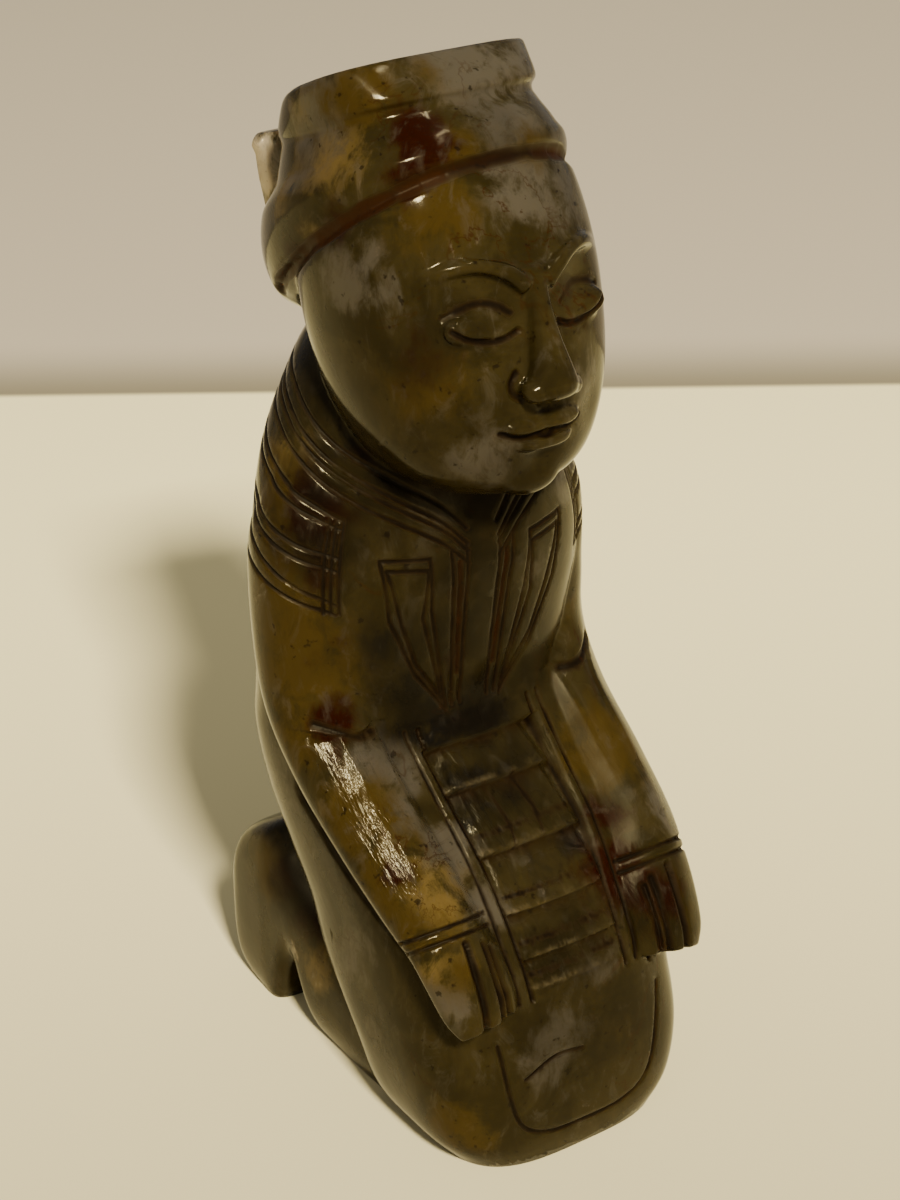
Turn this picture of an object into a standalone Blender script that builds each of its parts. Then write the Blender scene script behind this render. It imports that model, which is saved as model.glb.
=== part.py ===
"""A kneeling figure, carved in the round from one piece of jade.

It kneels upright on its shins with its toes tucked under, its hands on its thighs and its face
to the front, in a flat cap with a rolled brim. Every form and every cut is given in shares, where
100 shares are the figure's height: X to the figure's left, -Y to its front, Z up from the floor.
"""

import bmesh
import bpy
import numpy as np
from mathutils import Vector
from mathutils.bvhtree import BVHTree
from mathutils.kdtree import KDTree

FIGURE_HEIGHT = 0.100  # metres, from the floor to the top of the cap
SHARE = FIGURE_HEIGHT / 100

NAME = "kneeling_figure"
JADE_COLOUR = (0.16, 0.115, 0.05, 1.0)
JADE_ROUGHNESS = 0.22

# How finely the stone is worked, in shares.
VOXEL = 0.55
SMOOTHING_TURNS = 6
RING_POINTS = 56
STEPS_BETWEEN_RINGS = 5
STROKE_SPACING = 0.2
MOST_TRIANGLES = 9400
BELOW_FLOOR = -2.0  # the forms reach this low before the base is cut flat
LEVEL_WITHIN = 0.1  # points this near the floor are set on it

# Horizontal sections, from the floor up: height, front, back, half width, squareness.
ROBE = (
    (BELOW_FLOOR, -17.9, -1.0, 10.4, 3.2),
    (0.0, -18.6, 0.5, 11.6, 3.3),
    (3.0, -19.1, 2.2, 13.6, 3.4),
    (8.0, -19.0, 4.4, 14.6, 3.4),
    (14.0, -18.5, 10.6, 14.8, 3.1),
    (19.0, -17.4, 14.6, 14.8, 2.8),
    (24.0, -14.4, 18.2, 15.0, 2.8),
    (29.0, -10.4, 20.8, 15.2, 2.9),
    (34.0, -4.6, 22.0, 15.2, 2.8),
    (38.5, -0.4, 21.4, 15.0, 2.6),
    (44.0, -0.6, 20.4, 15.6, 2.4),
    (50.0, -1.3, 20.2, 16.4, 2.3),
    (55.0, -1.9, 20.3, 16.4, 2.1),
    (60.0, -0.9, 20.8, 15.3, 2.1),
    (64.5, 0.8, 20.8, 13.7, 2.1),
    (69.0, 1.8, 20.4, 11.4, 2.1),
    (73.0, 2.6, 19.2, 9.2, 2.1),
    (76.0, 4.0, 16.6, 7.0, 2.0),
)
HEAD = (
    (63.2, -5.8, 4.0, 4.0, 2.0),
    (64.0, -8.0, 7.0, 7.2, 2.1),
    (66.0, -9.6, 10.0, 9.6, 2.2),
    (69.5, -10.4, 13.0, 11.4, 2.2),
    (74.0, -10.4, 15.4, 12.4, 2.2),
    (79.0, -9.6, 17.2, 12.7, 2.2),
    (84.0, -8.4, 18.6, 12.4, 2.2),
    (89.0, -6.6, 18.6, 11.2, 2.2),
    (93.0, -4.2, 17.6, 9.4, 2.1),
    (96.0, 0.0, 15.0, 6.4, 2.0),
)
# Sloping sections of the cap: front point, back point (each as y, z), half width, squareness.
CAP = (
    ((-3.8, 93.0), (18.6, 72.2), 11.2, 2.1),
    ((-4.3, 93.2), (21.6, 73.0), 12.4, 2.1),
    ((-4.3, 93.8), (23.3, 76.4), 12.8, 2.15),
    ((-4.0, 94.4), (23.4, 80.6), 12.6, 2.15),
    ((-3.5, 94.9), (22.3, 83.2), 11.9, 2.1),
    ((-2.7, 95.4), (21.6, 84.6), 11.3, 2.2),
    ((-1.0, 96.4), (21.4, 87.4), 10.7, 2.3),
    ((0.2, 97.1), (21.0, 88.8), 10.3, 2.5),
    ((0.2, 97.7), (20.6, 90.0), 10.4, 2.7),
    ((2.4, 99.3), (18.6, 93.1), 10.5, 2.7),
    ((3.8, 100.0), (15.8, 94.8), 10.3, 2.8),
)
BACK_FLAP = (
    ((17.0, 81.0), (23.4, 79.0), 7.2, 4.0),
    ((20.5, 85.0), (24.4, 84.0), 7.4, 4.0),
    ((22.3, 88.0), (25.4, 87.2), 7.5, 4.0),
    ((22.9, 89.1), (25.1, 88.6), 7.0, 4.0),
)

# Limbs: centre of each section, half width across, half thickness and squareness. The figure's
# right side. The arm's sections stand on a corner, so a ridge runs down the forearm.
ARM = (
    ((-11.0, 9.6, 61.0), 4.0, 5.0, 2.0),
    ((-12.2, 9.0, 55.0), 4.9, 6.2, 2.0),
    ((-12.6, 8.6, 47.0), 4.9, 5.8, 2.1),
    ((-12.5, 7.4, 40.4), 4.9, 5.6, 2.4),
    ((-12.3, 3.0, 35.0), 4.9, 5.2, 2.9),
    ((-12.2, -3.6, 30.4), 4.7, 4.6, 3.0),
    ((-11.9, -9.2, 26.6), 4.4, 4.0, 2.8),
    ((-11.5, -12.4, 24.0), 4.1, 3.3, 2.6),
    ((-11.1, -14.6, 21.6), 4.1, 2.9, 2.5),
    ((-10.7, -16.6, 18.9), 3.9, 2.4, 2.4),
    ((-10.4, -17.7, 17.1), 3.2, 1.7, 2.2),
)
NOSE = (
    (73.2, -10.9, -9.0, 1.5, 2.2),
    (73.8, -12.7, -9.0, 2.2, 2.2),
    (75.0, -13.7, -9.0, 2.2, 2.2),
    (76.6, -13.3, -9.0, 1.7, 2.2),
    (79.2, -11.7, -8.0, 1.25, 2.2),
    (82.0, -10.2, -7.0, 1.15, 2.2),
    (84.6, -8.9, -6.0, 1.5, 2.2),
)
BROW = (
    ((-1.0, -8.9, 83.0), 0.9, 0.9, 2.0),
    ((-3.0, -8.5, 84.5), 0.8, 0.8, 2.0),
    ((-5.6, -7.2, 85.0), 0.75, 0.75, 2.0),
    ((-8.4, -4.7, 83.8), 0.7, 0.7, 2.0),
    ((-10.2, -2.0, 81.6), 0.6, 0.6, 2.0),
)
# Small rounded forms of the face: centre and half sizes. Those off the centre line are mirrored.
ROUNDS = (
    ((1.7, -11.3, 74.6), (1.2, 1.5, 1.1)),
    ((5.0, -7.5, 79.8), (3.3, 1.5, 1.7)),
    ((1.3, -10.0, 71.1), (2.7, 1.3, 0.9)),
    ((0.0, -10.0, 69.4), (3.1, 1.5, 1.0)),
    ((0.0, -7.9, 65.8), (3.4, 2.0, 2.3)),
)
# Hollows sunk in the face: centre, reach and depth.
HOLLOWS = (
    ((5.2, -8.4, 82.2), 3.2, 0.55),
    ((0.0, -10.6, 72.4), 1.0, 0.35),
    ((0.0, -9.8, 67.7), 2.4, 0.5),
    ((6.0, -9.0, 71.0), 3.0, 0.35),
)

# The carving. A cut on the robe is placed by its turn from straight ahead, in degrees, and its height.
ROBE_AXIS = 10.0  # where the upright axis of the shoulders stands, on Y
COLLAR = ((8, 56.3), (20, 58.7), (38, 60.9), (64, 63.8), (86, 66.4), (105, 68.2), (140, 70.2), (180, 70.8))
COLLAR_LINES = (-1.6, -0.4, 0.3, 1.7)
LAPEL_TOP, LAPEL_FOOT = 56.4, 39.6
LAPELS = ((1.8, 1.5), (3.4, 2.4))  # half width of each nested pair, at top and at foot
PANEL_CORNERS = ((9.9, 56.2), (5.5, 55.9), (5.2, 50.5), (3.0, 39.2), (6.4, 43.8), (9.1, 50.0))
SHOULDER_FRONT, SHOULDER_BACK = 60.0, 130.0  # degrees of turn
SHOULDER_LINES = ((59.8, 0.10), (59.0, 0.09), (56.5, 0.075), (55.3, 0.08), (52.0, 0.13), (51.0, 0.10))
SHOULDER_EDGES = (59.0, 61.6, 64.0)
PANEL_NEST = (0.0, 1.1)  # how far each line of a panel lies inside its outline
GROOVE_WIDTH, GROOVE_DEPTH = 0.55, 0.45
DEGREES_TO_SHARES = 0.25  # along the robe, for spacing a stroke evenly

# The sash, a band of panels down the lap that overlap like shingles: the height of each lower edge.
LEDGES = (36.6, 33.6, 29.3, 24.8, 21.2, 18.6)
SASH_TOP_HALF, SASH_FOOT_HALF = 6.2, 5.4
LEDGE_DEPTH = 1.0
SASH_EDGE_DEPTH = 0.7
SASH_EDGE_SLOPE = 0.5  # how far in from its edge the sash reaches its full depth
SASH_BORDER = 1.3
SASH_ENDS = (LEDGES[0] + 1.5, LEDGES[-1] - 1.0)
SASH_FOLDS, SASH_FOLD_BEND = (-2.0, 1.2), 0.5  # curved cuts across the second panel, on X
APRON = ((9.2, 14.0), (8.4, 8.4), (7.2, 5.0), (4.4, 3.4), (0.0, 3.1))  # its edge, as x and z
APRON_FOLD = ((-6.8, 10.0), (-3.6, 11.5), (-0.4, 11.2))
APRON_DEPTH = 0.3

# The arms and hands, on the figure's right side.
WRIST = (-11.35, -12.6, 24.0)
WRIST_LINES = (0.0, 1.1)
WRIST_DEPTH = 0.4
WRIST_REACH = 100.0  # degrees to each side of the back of the arm
PALM = (-10.7, -15.4, 19.6)
FINGER_GAPS = (-0.8, 1.2, 2.0)
FINGER_REACH = (-50.0, 100.0)  # degrees from the back of the hand, round the tips
FINGER_DEPTH = 0.5
FOREARM_SLOPE = 52.0  # degrees below level at the wrist
UNDERCUT_SECTIONS = slice(4, 10)  # of the arm, where it stands clear of the thigh
UNDERCUT_AT = 0.85  # of the arm's half thickness, below its middle
UNDERCUT_WIDTH, UNDERCUT_DEPTH = 1.5, 0.8
# The fold at the elbow's crook, and the flat below it on the top of the forearm.
CROOK = ((10.6, 39.2), (12.3, 39.5), (14.0, 39.8), (15.6, 40.2))
CROOK_WIDTH, CROOK_DEPTH = 0.7, 0.45
FLAT_TOP = (13.2, 0.2, 38.4)
FLAT_SLOPE = 38.0  # degrees
FLAT_DEPTH = 0.7
FLAT_INSIDE, FLAT_BEHIND = 8.5, 3.0  # where the flat ends, on X and Y
FLAT_HEIGHTS = (31.0, 39.6)
FLAT_FADE_DOWN, FLAT_FADE_INSIDE = 5.0, 1.5  # over what length it comes out

# The face: a lid line and a lid crease for each eye, the wing of the nose, and the mouth.
LID_LINE = ((2.1, 79.4), (3.4, 78.9), (5.0, 78.8), (6.6, 79.2), (8.0, 80.1))
LID_CREASE = ((2.6, 81.0), (3.9, 81.8), (5.4, 82.0), (7.0, 81.5), (8.0, 80.9))
NOSE_WING = ((2.7, 75.9), (3.2, 75.0), (3.0, 74.1), (2.2, 73.5))
MOUTH = ((-4.2, 70.6), (-2.6, 70.2), (-1.2, 70.35), (0.0, 70.15), (1.2, 70.35), (2.6, 70.2), (4.2, 70.6))

FACE_WIDTH = 0.5
LID_DEPTH, CREASE_DEPTH, WING_DEPTH, MOUTH_DEPTH = 0.5, 0.25, 0.3, 0.5

# The cap's upper tier stands out from the band below it, along a sloping plane.
TIER_FRONT, TIER_BACK = (0.4, 97.2), (21.0, 89.0)
TIER_STEP, TIER_FADE = 0.32, 3.0
TIER_EDGE = 0.8  # over what height the step comes out
BRIM_REACH = 125.0  # degrees to each side of the front
BRIM_CREASE_WIDTH, BRIM_CREASE_BELOW = 1.0, 0.4
BRIM_TURNS, BRIM_CREASE_DEPTHS = (10.0, 60.0), (0.15, 0.6)  # shallow in front, deep at the sides
BRIM_ARCS = 25  # lengths of the crease, each cut to its own depth


def catmull_rom(rows, steps):
    """The rows with more between them, on a smooth curve that passes through each."""
    rows = np.array(rows, float)
    padded = np.vstack([2 * rows[0] - rows[1], rows, 2 * rows[-1] - rows[-2]])
    out = []
    for i in range(len(rows) - 1):
        a, b, c, d = padded[i : i + 4]
        for t in np.arange(steps) / steps:
            out.append(
                b + 0.5 * t * (c - a + t * (2 * a - 5 * b + 4 * c - d + t * (3 * (b - c) + d - a)))
            )
    out.append(rows[-1])
    return np.array(out)


def superellipse(centre, across, ahead, behind, power):
    """One closed section: a rounded shape, squarer as power rises, with its own front and back."""
    turn = np.linspace(0, 2 * np.pi, RING_POINTS, endpoint=False)
    c = np.sign(np.cos(turn)) * np.abs(np.cos(turn)) ** (2 / power)
    s = np.sign(np.sin(turn)) * np.abs(np.sin(turn)) ** (2 / power)
    depth = np.where((s > 0)[:, None], behind, ahead)
    return centre + c[:, None] * across + np.abs(s)[:, None] * depth


def loft(name, rows):
    """A closed form through sections, each a row of centre, across, ahead, behind and power."""
    bm = bmesh.new()
    rings = []
    for row in catmull_rom(rows, STEPS_BETWEEN_RINGS):
        points = superellipse(row[0:3], row[3:6], row[6:9], row[9:12], row[12])
        rings.append([bm.verts.new(p * SHARE) for p in points])
    for lower, upper in zip(rings, rings[1:]):
        for i in range(RING_POINTS):
            j = (i + 1) % RING_POINTS
            bm.faces.new((lower[i], lower[j], upper[j], upper[i]))
    bm.faces.new(rings[0])
    bm.faces.new(rings[-1])
    bmesh.ops.recalc_face_normals(bm, faces=bm.faces)
    return finished(name, bm)


def finished(name, bm):
    mesh = bpy.data.meshes.new(name)
    bm.to_mesh(mesh)
    bm.free()
    return bpy.data.objects.new(name, mesh)


def upright(name, sections):
    """A form that stands up: height, front, back, half width and squareness of each section."""
    rows = []
    for z, front, back, half_width, power in sections:
        centre = (front + back) / 2
        depth = (back - front) / 2
        rows.append((0, centre, z, half_width, 0, 0, 0, -depth, 0, 0, depth, 0, power))
    return loft(name, rows)


def sloping(name, sections):
    """A form whose sections slope from a front point to a back point."""
    rows = []
    for front, back, half_width, power in sections:
        centre = np.add(front, back) / 2
        half = np.subtract(back, front) / 2
        rows.append((0, *centre, half_width, 0, 0, 0, *-half, 0, *half, power))
    return loft(name, rows)


def along_limb(sections, side):
    """For each section of a limb: its centre, and the half sizes across it and up from it."""
    path = np.array([s[0] for s in sections]) * (-side, 1, 1)
    for centre, way, section in zip(path, np.gradient(path, axis=0), sections):
        way = way / np.linalg.norm(way)
        across = np.array((1, 0, 0)) - way[0] * way
        across /= np.linalg.norm(across)
        yield centre, across * section[1], np.cross(way, across) * section[2]


def limb(name, sections, side):
    """A form along a path, its sections square to the path and each standing on a corner."""
    rows = []
    for (centre, across, up), section in zip(along_limb(sections, side), sections):
        power = section[3]
        reach = 2 ** (1 / power - 1)  # brings the corners to the half sizes
        one, other = (across + up) * reach, (across - up) * reach
        rows.append((*centre, *one, *-other, *other, power))
    return loft(name, rows)


def lower_leg(name, side):
    """A shin and foot on the floor, from the knee back to the tucked toes: sections along Y."""
    rows = []
    for y, bottom, top, inner, outer, power in (
        (-8.0, BELOW_FLOOR, 4.0, -0.4, 11.0, 3.0),
        (0.0, BELOW_FLOOR, 9.5, -0.4, 12.0, 3.0),
        (7.0, BELOW_FLOOR, 14.5, -0.4, 12.4, 3.0),
        (11.0, -0.6, 17.0, -0.4, 12.6, 3.4),
        (13.6, 5.4, 18.4, -0.4, 12.7, 3.8),
        (15.2, 4.6, 19.3, -0.4, 12.7, 4.2),
        (17.6, BELOW_FLOOR, 19.6, -0.4, 12.7, 4.4),
        (20.0, BELOW_FLOOR, 19.4, -0.4, 12.7, 4.6),
        (24.4, -0.8, 17.0, -0.4, 12.4, 4.6),
        (26.2, 3.0, 14.2, 0.0, 11.8, 4.0),
    ):
        middle, half_width = (inner + outer) / 2, (outer - inner) / 2
        height = (top - bottom) / 2
        rows.append(
            (side * middle, y, bottom + height, half_width, 0, 0, 0, 0, -height, 0, 0, height, power)
        )
    return loft(name, rows)


def rounded(name, centre, half, side=1):
    bm = bmesh.new()
    bmesh.ops.create_uvsphere(bm, u_segments=24, v_segments=16, radius=1)
    for v in bm.verts:
        v.co = (np.array(v.co) * half + centre) * (side, 1, 1) * SHARE
    bmesh.ops.recalc_face_normals(bm, faces=bm.faces)
    return finished(name, bm)


def forms():
    made = [
        upright("robe", ROBE),
        upright("head", HEAD),
        upright("nose", NOSE),
        sloping("cap", CAP),
        sloping("back_flap", BACK_FLAP),
    ]
    for side in (-1, 1):
        made.append(limb(f"arm_{side}", ARM, side))
        made.append(limb(f"brow_{side}", BROW, side))
        made.append(lower_leg(f"leg_{side}", side))
        for number, (centre, half) in enumerate(ROUNDS):
            made.append(rounded(f"round_{number}_{side}", centre, half, side))
    return made


def fused(made):
    """The forms as one closed skin: joined by voxels, then smoothed as polishing would."""
    bm = bmesh.new()
    for part in made:
        bm.from_mesh(part.data)
        bpy.data.objects.remove(part)
    block = finished(NAME, bm)
    bpy.context.scene.collection.objects.link(block)
    remesh = block.modifiers.new("one_piece", "REMESH")
    remesh.mode = "VOXEL"
    remesh.voxel_size = VOXEL * SHARE
    polish = block.modifiers.new("polish", "SMOOTH")
    polish.factor = 0.5
    polish.iterations = SMOOTHING_TURNS
    graph = bpy.context.evaluated_depsgraph_get()
    mesh = bpy.data.meshes.new_from_object(block.evaluated_get(graph))
    block.modifiers.clear()
    block.data = mesh
    return block


class Skin:
    """The polished surface, which the cuts are laid on."""

    def __init__(self, mesh):
        self.points = np.array([v.co for v in mesh.vertices]) / SHARE
        self.normals = np.array([v.normal for v in mesh.vertices])
        self.tree = BVHTree.FromPolygons(self.points.tolist(), [p.vertices[:] for p in mesh.polygons])
        self.lowered = np.zeros(len(self.points))

    def laid(self, path, towards):
        """The path's points, each moved along its own direction until it meets the surface."""
        out = []
        for start, way in zip(path, towards):
            found = self.tree.ray_cast(Vector(start), Vector(way))[0]
            if found is not None:
                out.append(found)
        return out

    def cut(self, laid, width=GROOVE_WIDTH, depth=GROOVE_DEPTH):
        """A groove along the laid points. Where grooves cross, the deeper one counts."""
        tree = KDTree(len(laid))
        for i, point in enumerate(laid):
            tree.insert(point, i)
        tree.balance()
        box_low = np.min(laid, axis=0) - width
        box_high = np.max(laid, axis=0) + width
        near = np.all((self.points > box_low) & (self.points < box_high), axis=1)
        for i in np.nonzero(near)[0]:
            away = tree.find(self.points[i])[2] / width
            if away < 1:
                self.lowered[i] = max(self.lowered[i], depth * (1 - away**2) ** 2)


def dense(points, bend):
    """Points spaced evenly along a path, either bent smoothly through its corners or straight."""
    points = catmull_rom(points, 12) if bend else np.array(points, float)
    length = np.r_[0, np.cumsum(np.linalg.norm(np.diff(points, axis=0), axis=1))]
    at = np.arange(0, length[-1], STROKE_SPACING)
    return np.column_stack([np.interp(at, length, points[:, k]) for k in range(points.shape[1])])


FAR, OUTSIDE = 60.0, 7.0  # how far out the rays that lay a groove start, round the body and round an arm


def from_front(skin, points, bend=False, **cut):
    """A groove given by x and z, laid on the front."""
    path = dense(points, bend)
    starts = np.column_stack([path[:, 0], np.full(len(path), -FAR), path[:, 1]])
    laid = skin.laid(starts, np.tile((0.0, 1.0, 0.0), (len(path), 1)))
    skin.cut(laid, **cut)


def from_around(skin, points, side, bend=True, **cut):
    """A groove given by its turn from the front in degrees and its height, laid on the robe."""
    points = np.array(points, float)
    path = dense(points * (DEGREES_TO_SHARES, 1), bend)
    turn = np.radians(path[:, 0] / DEGREES_TO_SHARES) * side
    out = np.column_stack([np.sin(turn), -np.cos(turn), np.zeros(len(turn))])
    middle = np.column_stack([np.zeros(len(path)), np.full(len(path), ROBE_AXIS), path[:, 1]])
    skin.cut(skin.laid(middle + out * FAR, -out), **cut)


def from_ahead(skin, points, way, bend=False, **cut):
    """A groove given in three dimensions, laid along one direction."""
    way = np.array(way) / np.linalg.norm(way)
    path = dense(points, bend)
    skin.cut(skin.laid(path - way * FAR, np.tile(way, (len(path), 1))), **cut)


def shrunk(corners, by):
    """The outline drawn in by a distance towards its middle."""
    corners = np.array(corners)
    middle = corners.mean(axis=0)
    away = corners - middle
    size = np.linalg.norm(away, axis=1, keepdims=True)
    return middle + away * (1 - by / size)


def carve_robe(skin):
    for side in (-1, 1):
        for up in COLLAR_LINES:
            from_around(skin, [(turn, z + up) for turn, z in COLLAR], side)
        for top, foot in LAPELS:
            from_front(skin, [(side * top, LAPEL_TOP), (side * foot, LAPEL_FOOT)])
        for by in PANEL_NEST:
            outline = shrunk(PANEL_CORNERS, by) * (side, 1)
            from_front(skin, np.vstack([outline, outline[:1]]))
        for z, slope in SHOULDER_LINES:
            line = [
                (turn, z + slope * (turn - SHOULDER_FRONT))
                for turn in np.linspace(SHOULDER_FRONT, SHOULDER_BACK, 5)
            ]
            from_around(skin, line, side)
        top, bottom = SHOULDER_LINES[0][0], SHOULDER_LINES[-1][0]
        for turn in SHOULDER_EDGES:
            from_around(skin, [(turn, top), (turn, bottom)], side)


def sash_half(z):
    """Half the width of the sash at a height."""
    return np.interp(z, (LEDGES[-1], LEDGES[0]), (SASH_FOOT_HALF, SASH_TOP_HALF))


def carve_sash(skin):
    """Each panel is sunk beneath the edge above it and comes out flush at its own lower edge."""
    x, y, z = skin.points.T
    edges = np.array(LEDGES)
    over = np.clip(len(edges) - np.searchsorted(edges[::-1], z), 1, len(edges) - 1)
    top, foot = edges[over - 1], edges[over]
    share = np.clip((z - foot) / (top - foot), 0, 1)
    side = np.clip((sash_half(z) - np.abs(x)) / SASH_EDGE_SLOPE, 0, 1)
    within = (z < edges[0]) & (z > edges[-1]) & (y < 2.0) & (skin.normals[:, 1] < 0)
    skin.lowered = np.maximum(skin.lowered, np.where(within, LEDGE_DEPTH * share * side, 0))
    for beyond in (0.0, SASH_BORDER):
        for side in (-1, 1):
            ends = [(side * (sash_half(z) + beyond), z) for z in SASH_ENDS]
            from_front(skin, ends, depth=GROOVE_DEPTH if beyond else SASH_EDGE_DEPTH)
    top, foot = LEDGES[1:3]
    for x in SASH_FOLDS:
        fold = [(x, top), (x + SASH_FOLD_BEND, (top + foot) / 2), (x, foot)]
        from_front(skin, fold, bend=True)


def carve_apron(skin):
    """A panel with rounded lower corners, on the front of the lap, and one slanting fold."""
    edge = [(-x, z) for x, z in APRON] + [(x, z) for x, z in reversed(APRON[:-1])]
    from_front(skin, edge, bend=True, depth=APRON_DEPTH)
    from_front(skin, APRON_FOLD, bend=True, depth=APRON_DEPTH)


def carve_arms(skin):
    """A deep line under each forearm, and the fold and the flat at the crook of the elbow."""
    slope = np.radians(FLAT_SLOPE)
    square_to_flat = np.array((0, -np.sin(slope), np.cos(slope)))
    for side in (-1, 1):
        under = [c - up * UNDERCUT_AT for c, _, up in along_limb(ARM, side)][UNDERCUT_SECTIONS]
        from_ahead(skin, under, (-side, 0, 0), bend=True, width=UNDERCUT_WIDTH, depth=UNDERCUT_DEPTH)
        crook = np.array(CROOK) * (side, 1)
        from_front(skin, crook, bend=True, width=CROOK_WIDTH, depth=CROOK_DEPTH)
        above = (skin.points - np.array(FLAT_TOP) * (side, 1, 1)) @ square_to_flat
        x, y, z = skin.points.T
        low, high = FLAT_HEIGHTS
        fade = np.clip((z - low) / FLAT_FADE_DOWN, 0, 1)
        fade *= np.clip((side * x - FLAT_INSIDE) / FLAT_FADE_INSIDE, 0, 1)
        fade *= (y < FLAT_BEHIND) & (z < high)
        skin.lowered = np.maximum(skin.lowered, np.clip(above, 0, FLAT_DEPTH) * fade)


def carve_hands(skin):
    slope = np.radians(FOREARM_SLOPE)
    along = np.array((0, -np.cos(slope), -np.sin(slope)))
    back_of_arm = np.array((0, -np.sin(slope), np.cos(slope)))
    across = np.array((1.0, 0, 0))
    for side in (-1, 1):
        mirror = np.array((-side, 1, 1))
        turn = np.radians(np.linspace(-WRIST_REACH, WRIST_REACH, 90))
        out = np.outer(np.cos(turn), back_of_arm) + np.outer(np.sin(turn), across)
        for before in WRIST_LINES:
            centre = (WRIST - along * before) * mirror
            skin.cut(skin.laid(centre + out * OUTSIDE, -out), depth=WRIST_DEPTH)
        turn = np.radians(np.linspace(*FINGER_REACH, 60))
        out = np.outer(np.cos(turn), back_of_arm) + np.outer(np.sin(turn), along)
        for gap in FINGER_GAPS:
            centre = (PALM + across * gap) * mirror
            skin.cut(skin.laid(centre + out * OUTSIDE, -out), depth=FINGER_DEPTH)


def carve_face(skin):
    for centre, reach, depth in HOLLOWS:
        for side in {-1, 1} if centre[0] else {1}:
            away = np.linalg.norm(skin.points - np.array(centre) * (side, 1, 1), axis=1) / reach
            skin.lowered += depth * np.exp(-(away**2) * 2)
    for side in (-1, 1):
        for line, depth in ((LID_LINE, LID_DEPTH), (LID_CREASE, CREASE_DEPTH), (NOSE_WING, WING_DEPTH)):
            from_front(skin, np.array(line) * (side, 1), bend=True, width=FACE_WIDTH, depth=depth)
    from_front(skin, MOUTH, bend=True, width=FACE_WIDTH, depth=MOUTH_DEPTH)


def carve_cap(skin):
    """The step below the upper tier, and a crease where the brim meets the head."""
    front, back, half_width, _ = CAP[1]
    middle, ahead = np.add(front, back) / 2, np.subtract(front, back) / 2  # as y and z
    turn = np.linspace(-BRIM_REACH, BRIM_REACH, 10 * BRIM_ARCS)
    out = np.outer(np.sin(np.radians(turn)), (half_width, 0, 0))
    out += np.outer(np.cos(np.radians(turn)), (0, *ahead))
    up = np.array((0, ahead[1], -ahead[0])) / np.hypot(*ahead)
    start = np.array((0, *middle)) - up * BRIM_CREASE_BELOW + out * 2
    for arc in np.array_split(np.arange(len(turn)), BRIM_ARCS):
        depth = np.interp(abs(turn[arc].mean()), BRIM_TURNS, BRIM_CREASE_DEPTHS)
        skin.cut(skin.laid(start[arc], -out[arc]), width=BRIM_CREASE_WIDTH, depth=depth)
    along = np.subtract(TIER_BACK, TIER_FRONT)
    up = np.array((-along[1], along[0])) / np.hypot(*along)
    height = (skin.points[:, 1:] - TIER_FRONT) @ up
    below = np.clip(-height / TIER_EDGE, 0, 1) * np.clip(1 + height / TIER_FADE, 0, 1)
    skin.lowered += TIER_STEP * below


def cut_flat(mesh):
    """The block cut off level at the floor and closed there."""
    bm = bmesh.new()
    bm.from_mesh(mesh)
    everything = bm.verts[:] + bm.edges[:] + bm.faces[:]
    bmesh.ops.bisect_plane(bm, geom=everything, plane_co=(0, 0, 0), plane_no=(0, 0, -1), clear_outer=True)
    rim = [e for e in bm.edges if e.is_boundary]
    bmesh.ops.triangle_fill(bm, edges=rim, use_beauty=True)
    bmesh.ops.recalc_face_normals(bm, faces=bm.faces)
    bm.to_mesh(mesh)
    bm.free()


def jade():
    material = bpy.data.materials.new("jade")
    material.use_nodes = True
    shader = material.node_tree.nodes["Principled BSDF"]
    shader.inputs["Base Color"].default_value = JADE_COLOUR
    shader.inputs["Roughness"].default_value = JADE_ROUGHNESS
    shader.inputs["Metallic"].default_value = 0.0
    return material


def main():
    for old in list(bpy.data.objects):
        bpy.data.objects.remove(old)
    block = fused(forms())
    cut_flat(block.data)
    skin = Skin(block.data)
    carve_face(skin)
    carve_cap(skin)
    carve_robe(skin)
    carve_sash(skin)
    carve_apron(skin)
    carve_arms(skin)
    carve_hands(skin)
    moved = skin.points - skin.normals * skin.lowered[:, None]
    moved[:, 2] = np.where(skin.points[:, 2] < LEVEL_WITHIN / 100, 0, np.maximum(moved[:, 2], 0))
    block.data.vertices.foreach_set("co", (moved * SHARE).astype(np.float32).ravel())

    spare = block.modifiers.new("facets", "DECIMATE")
    spare.ratio = MOST_TRIANGLES / sum(len(p.vertices) - 2 for p in block.data.polygons)
    graph = bpy.context.evaluated_depsgraph_get()
    mesh = bpy.data.meshes.new_from_object(block.evaluated_get(graph))
    block.modifiers.clear()
    block.data = mesh
    points = np.array([v.co for v in mesh.vertices])
    points[:, 2] = np.where(points[:, 2] < LEVEL_WITHIN * SHARE, 0, points[:, 2])
    middle = (points.min(axis=0) + points.max(axis=0)) / 2
    points[:, :2] -= middle[:2]
    points *= FIGURE_HEIGHT / points[:, 2].max()
    mesh.vertices.foreach_set("co", points.astype(np.float32).ravel())
    mesh.update()

    mesh.materials.clear()
    mesh.materials.append(jade())
    for face in mesh.polygons:
        face.use_smooth = True
    piece = bpy.data.collections.new("jade_kneeling_figure")
    bpy.context.scene.collection.children.link(piece)
    bpy.context.scene.collection.objects.unlink(block)
    piece.objects.link(block)


main()
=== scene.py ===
"""The jade kneeling figure, carved and polished as in the photograph.

One piece stands for the whole solid: the same forms as the frame's node, worked finer, with the
narrow cuts, the tool marks and the stone's colours, among them painted shade, sheen, glow and
highlights. Forms and cuts are in shares, 100 to the figure's height, with X to the figure's
left, -Y to its front and Z up.
"""

import bmesh
import bpy
import numpy as np
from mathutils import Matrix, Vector, noise
from mathutils.bvhtree import BVHTree


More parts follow.
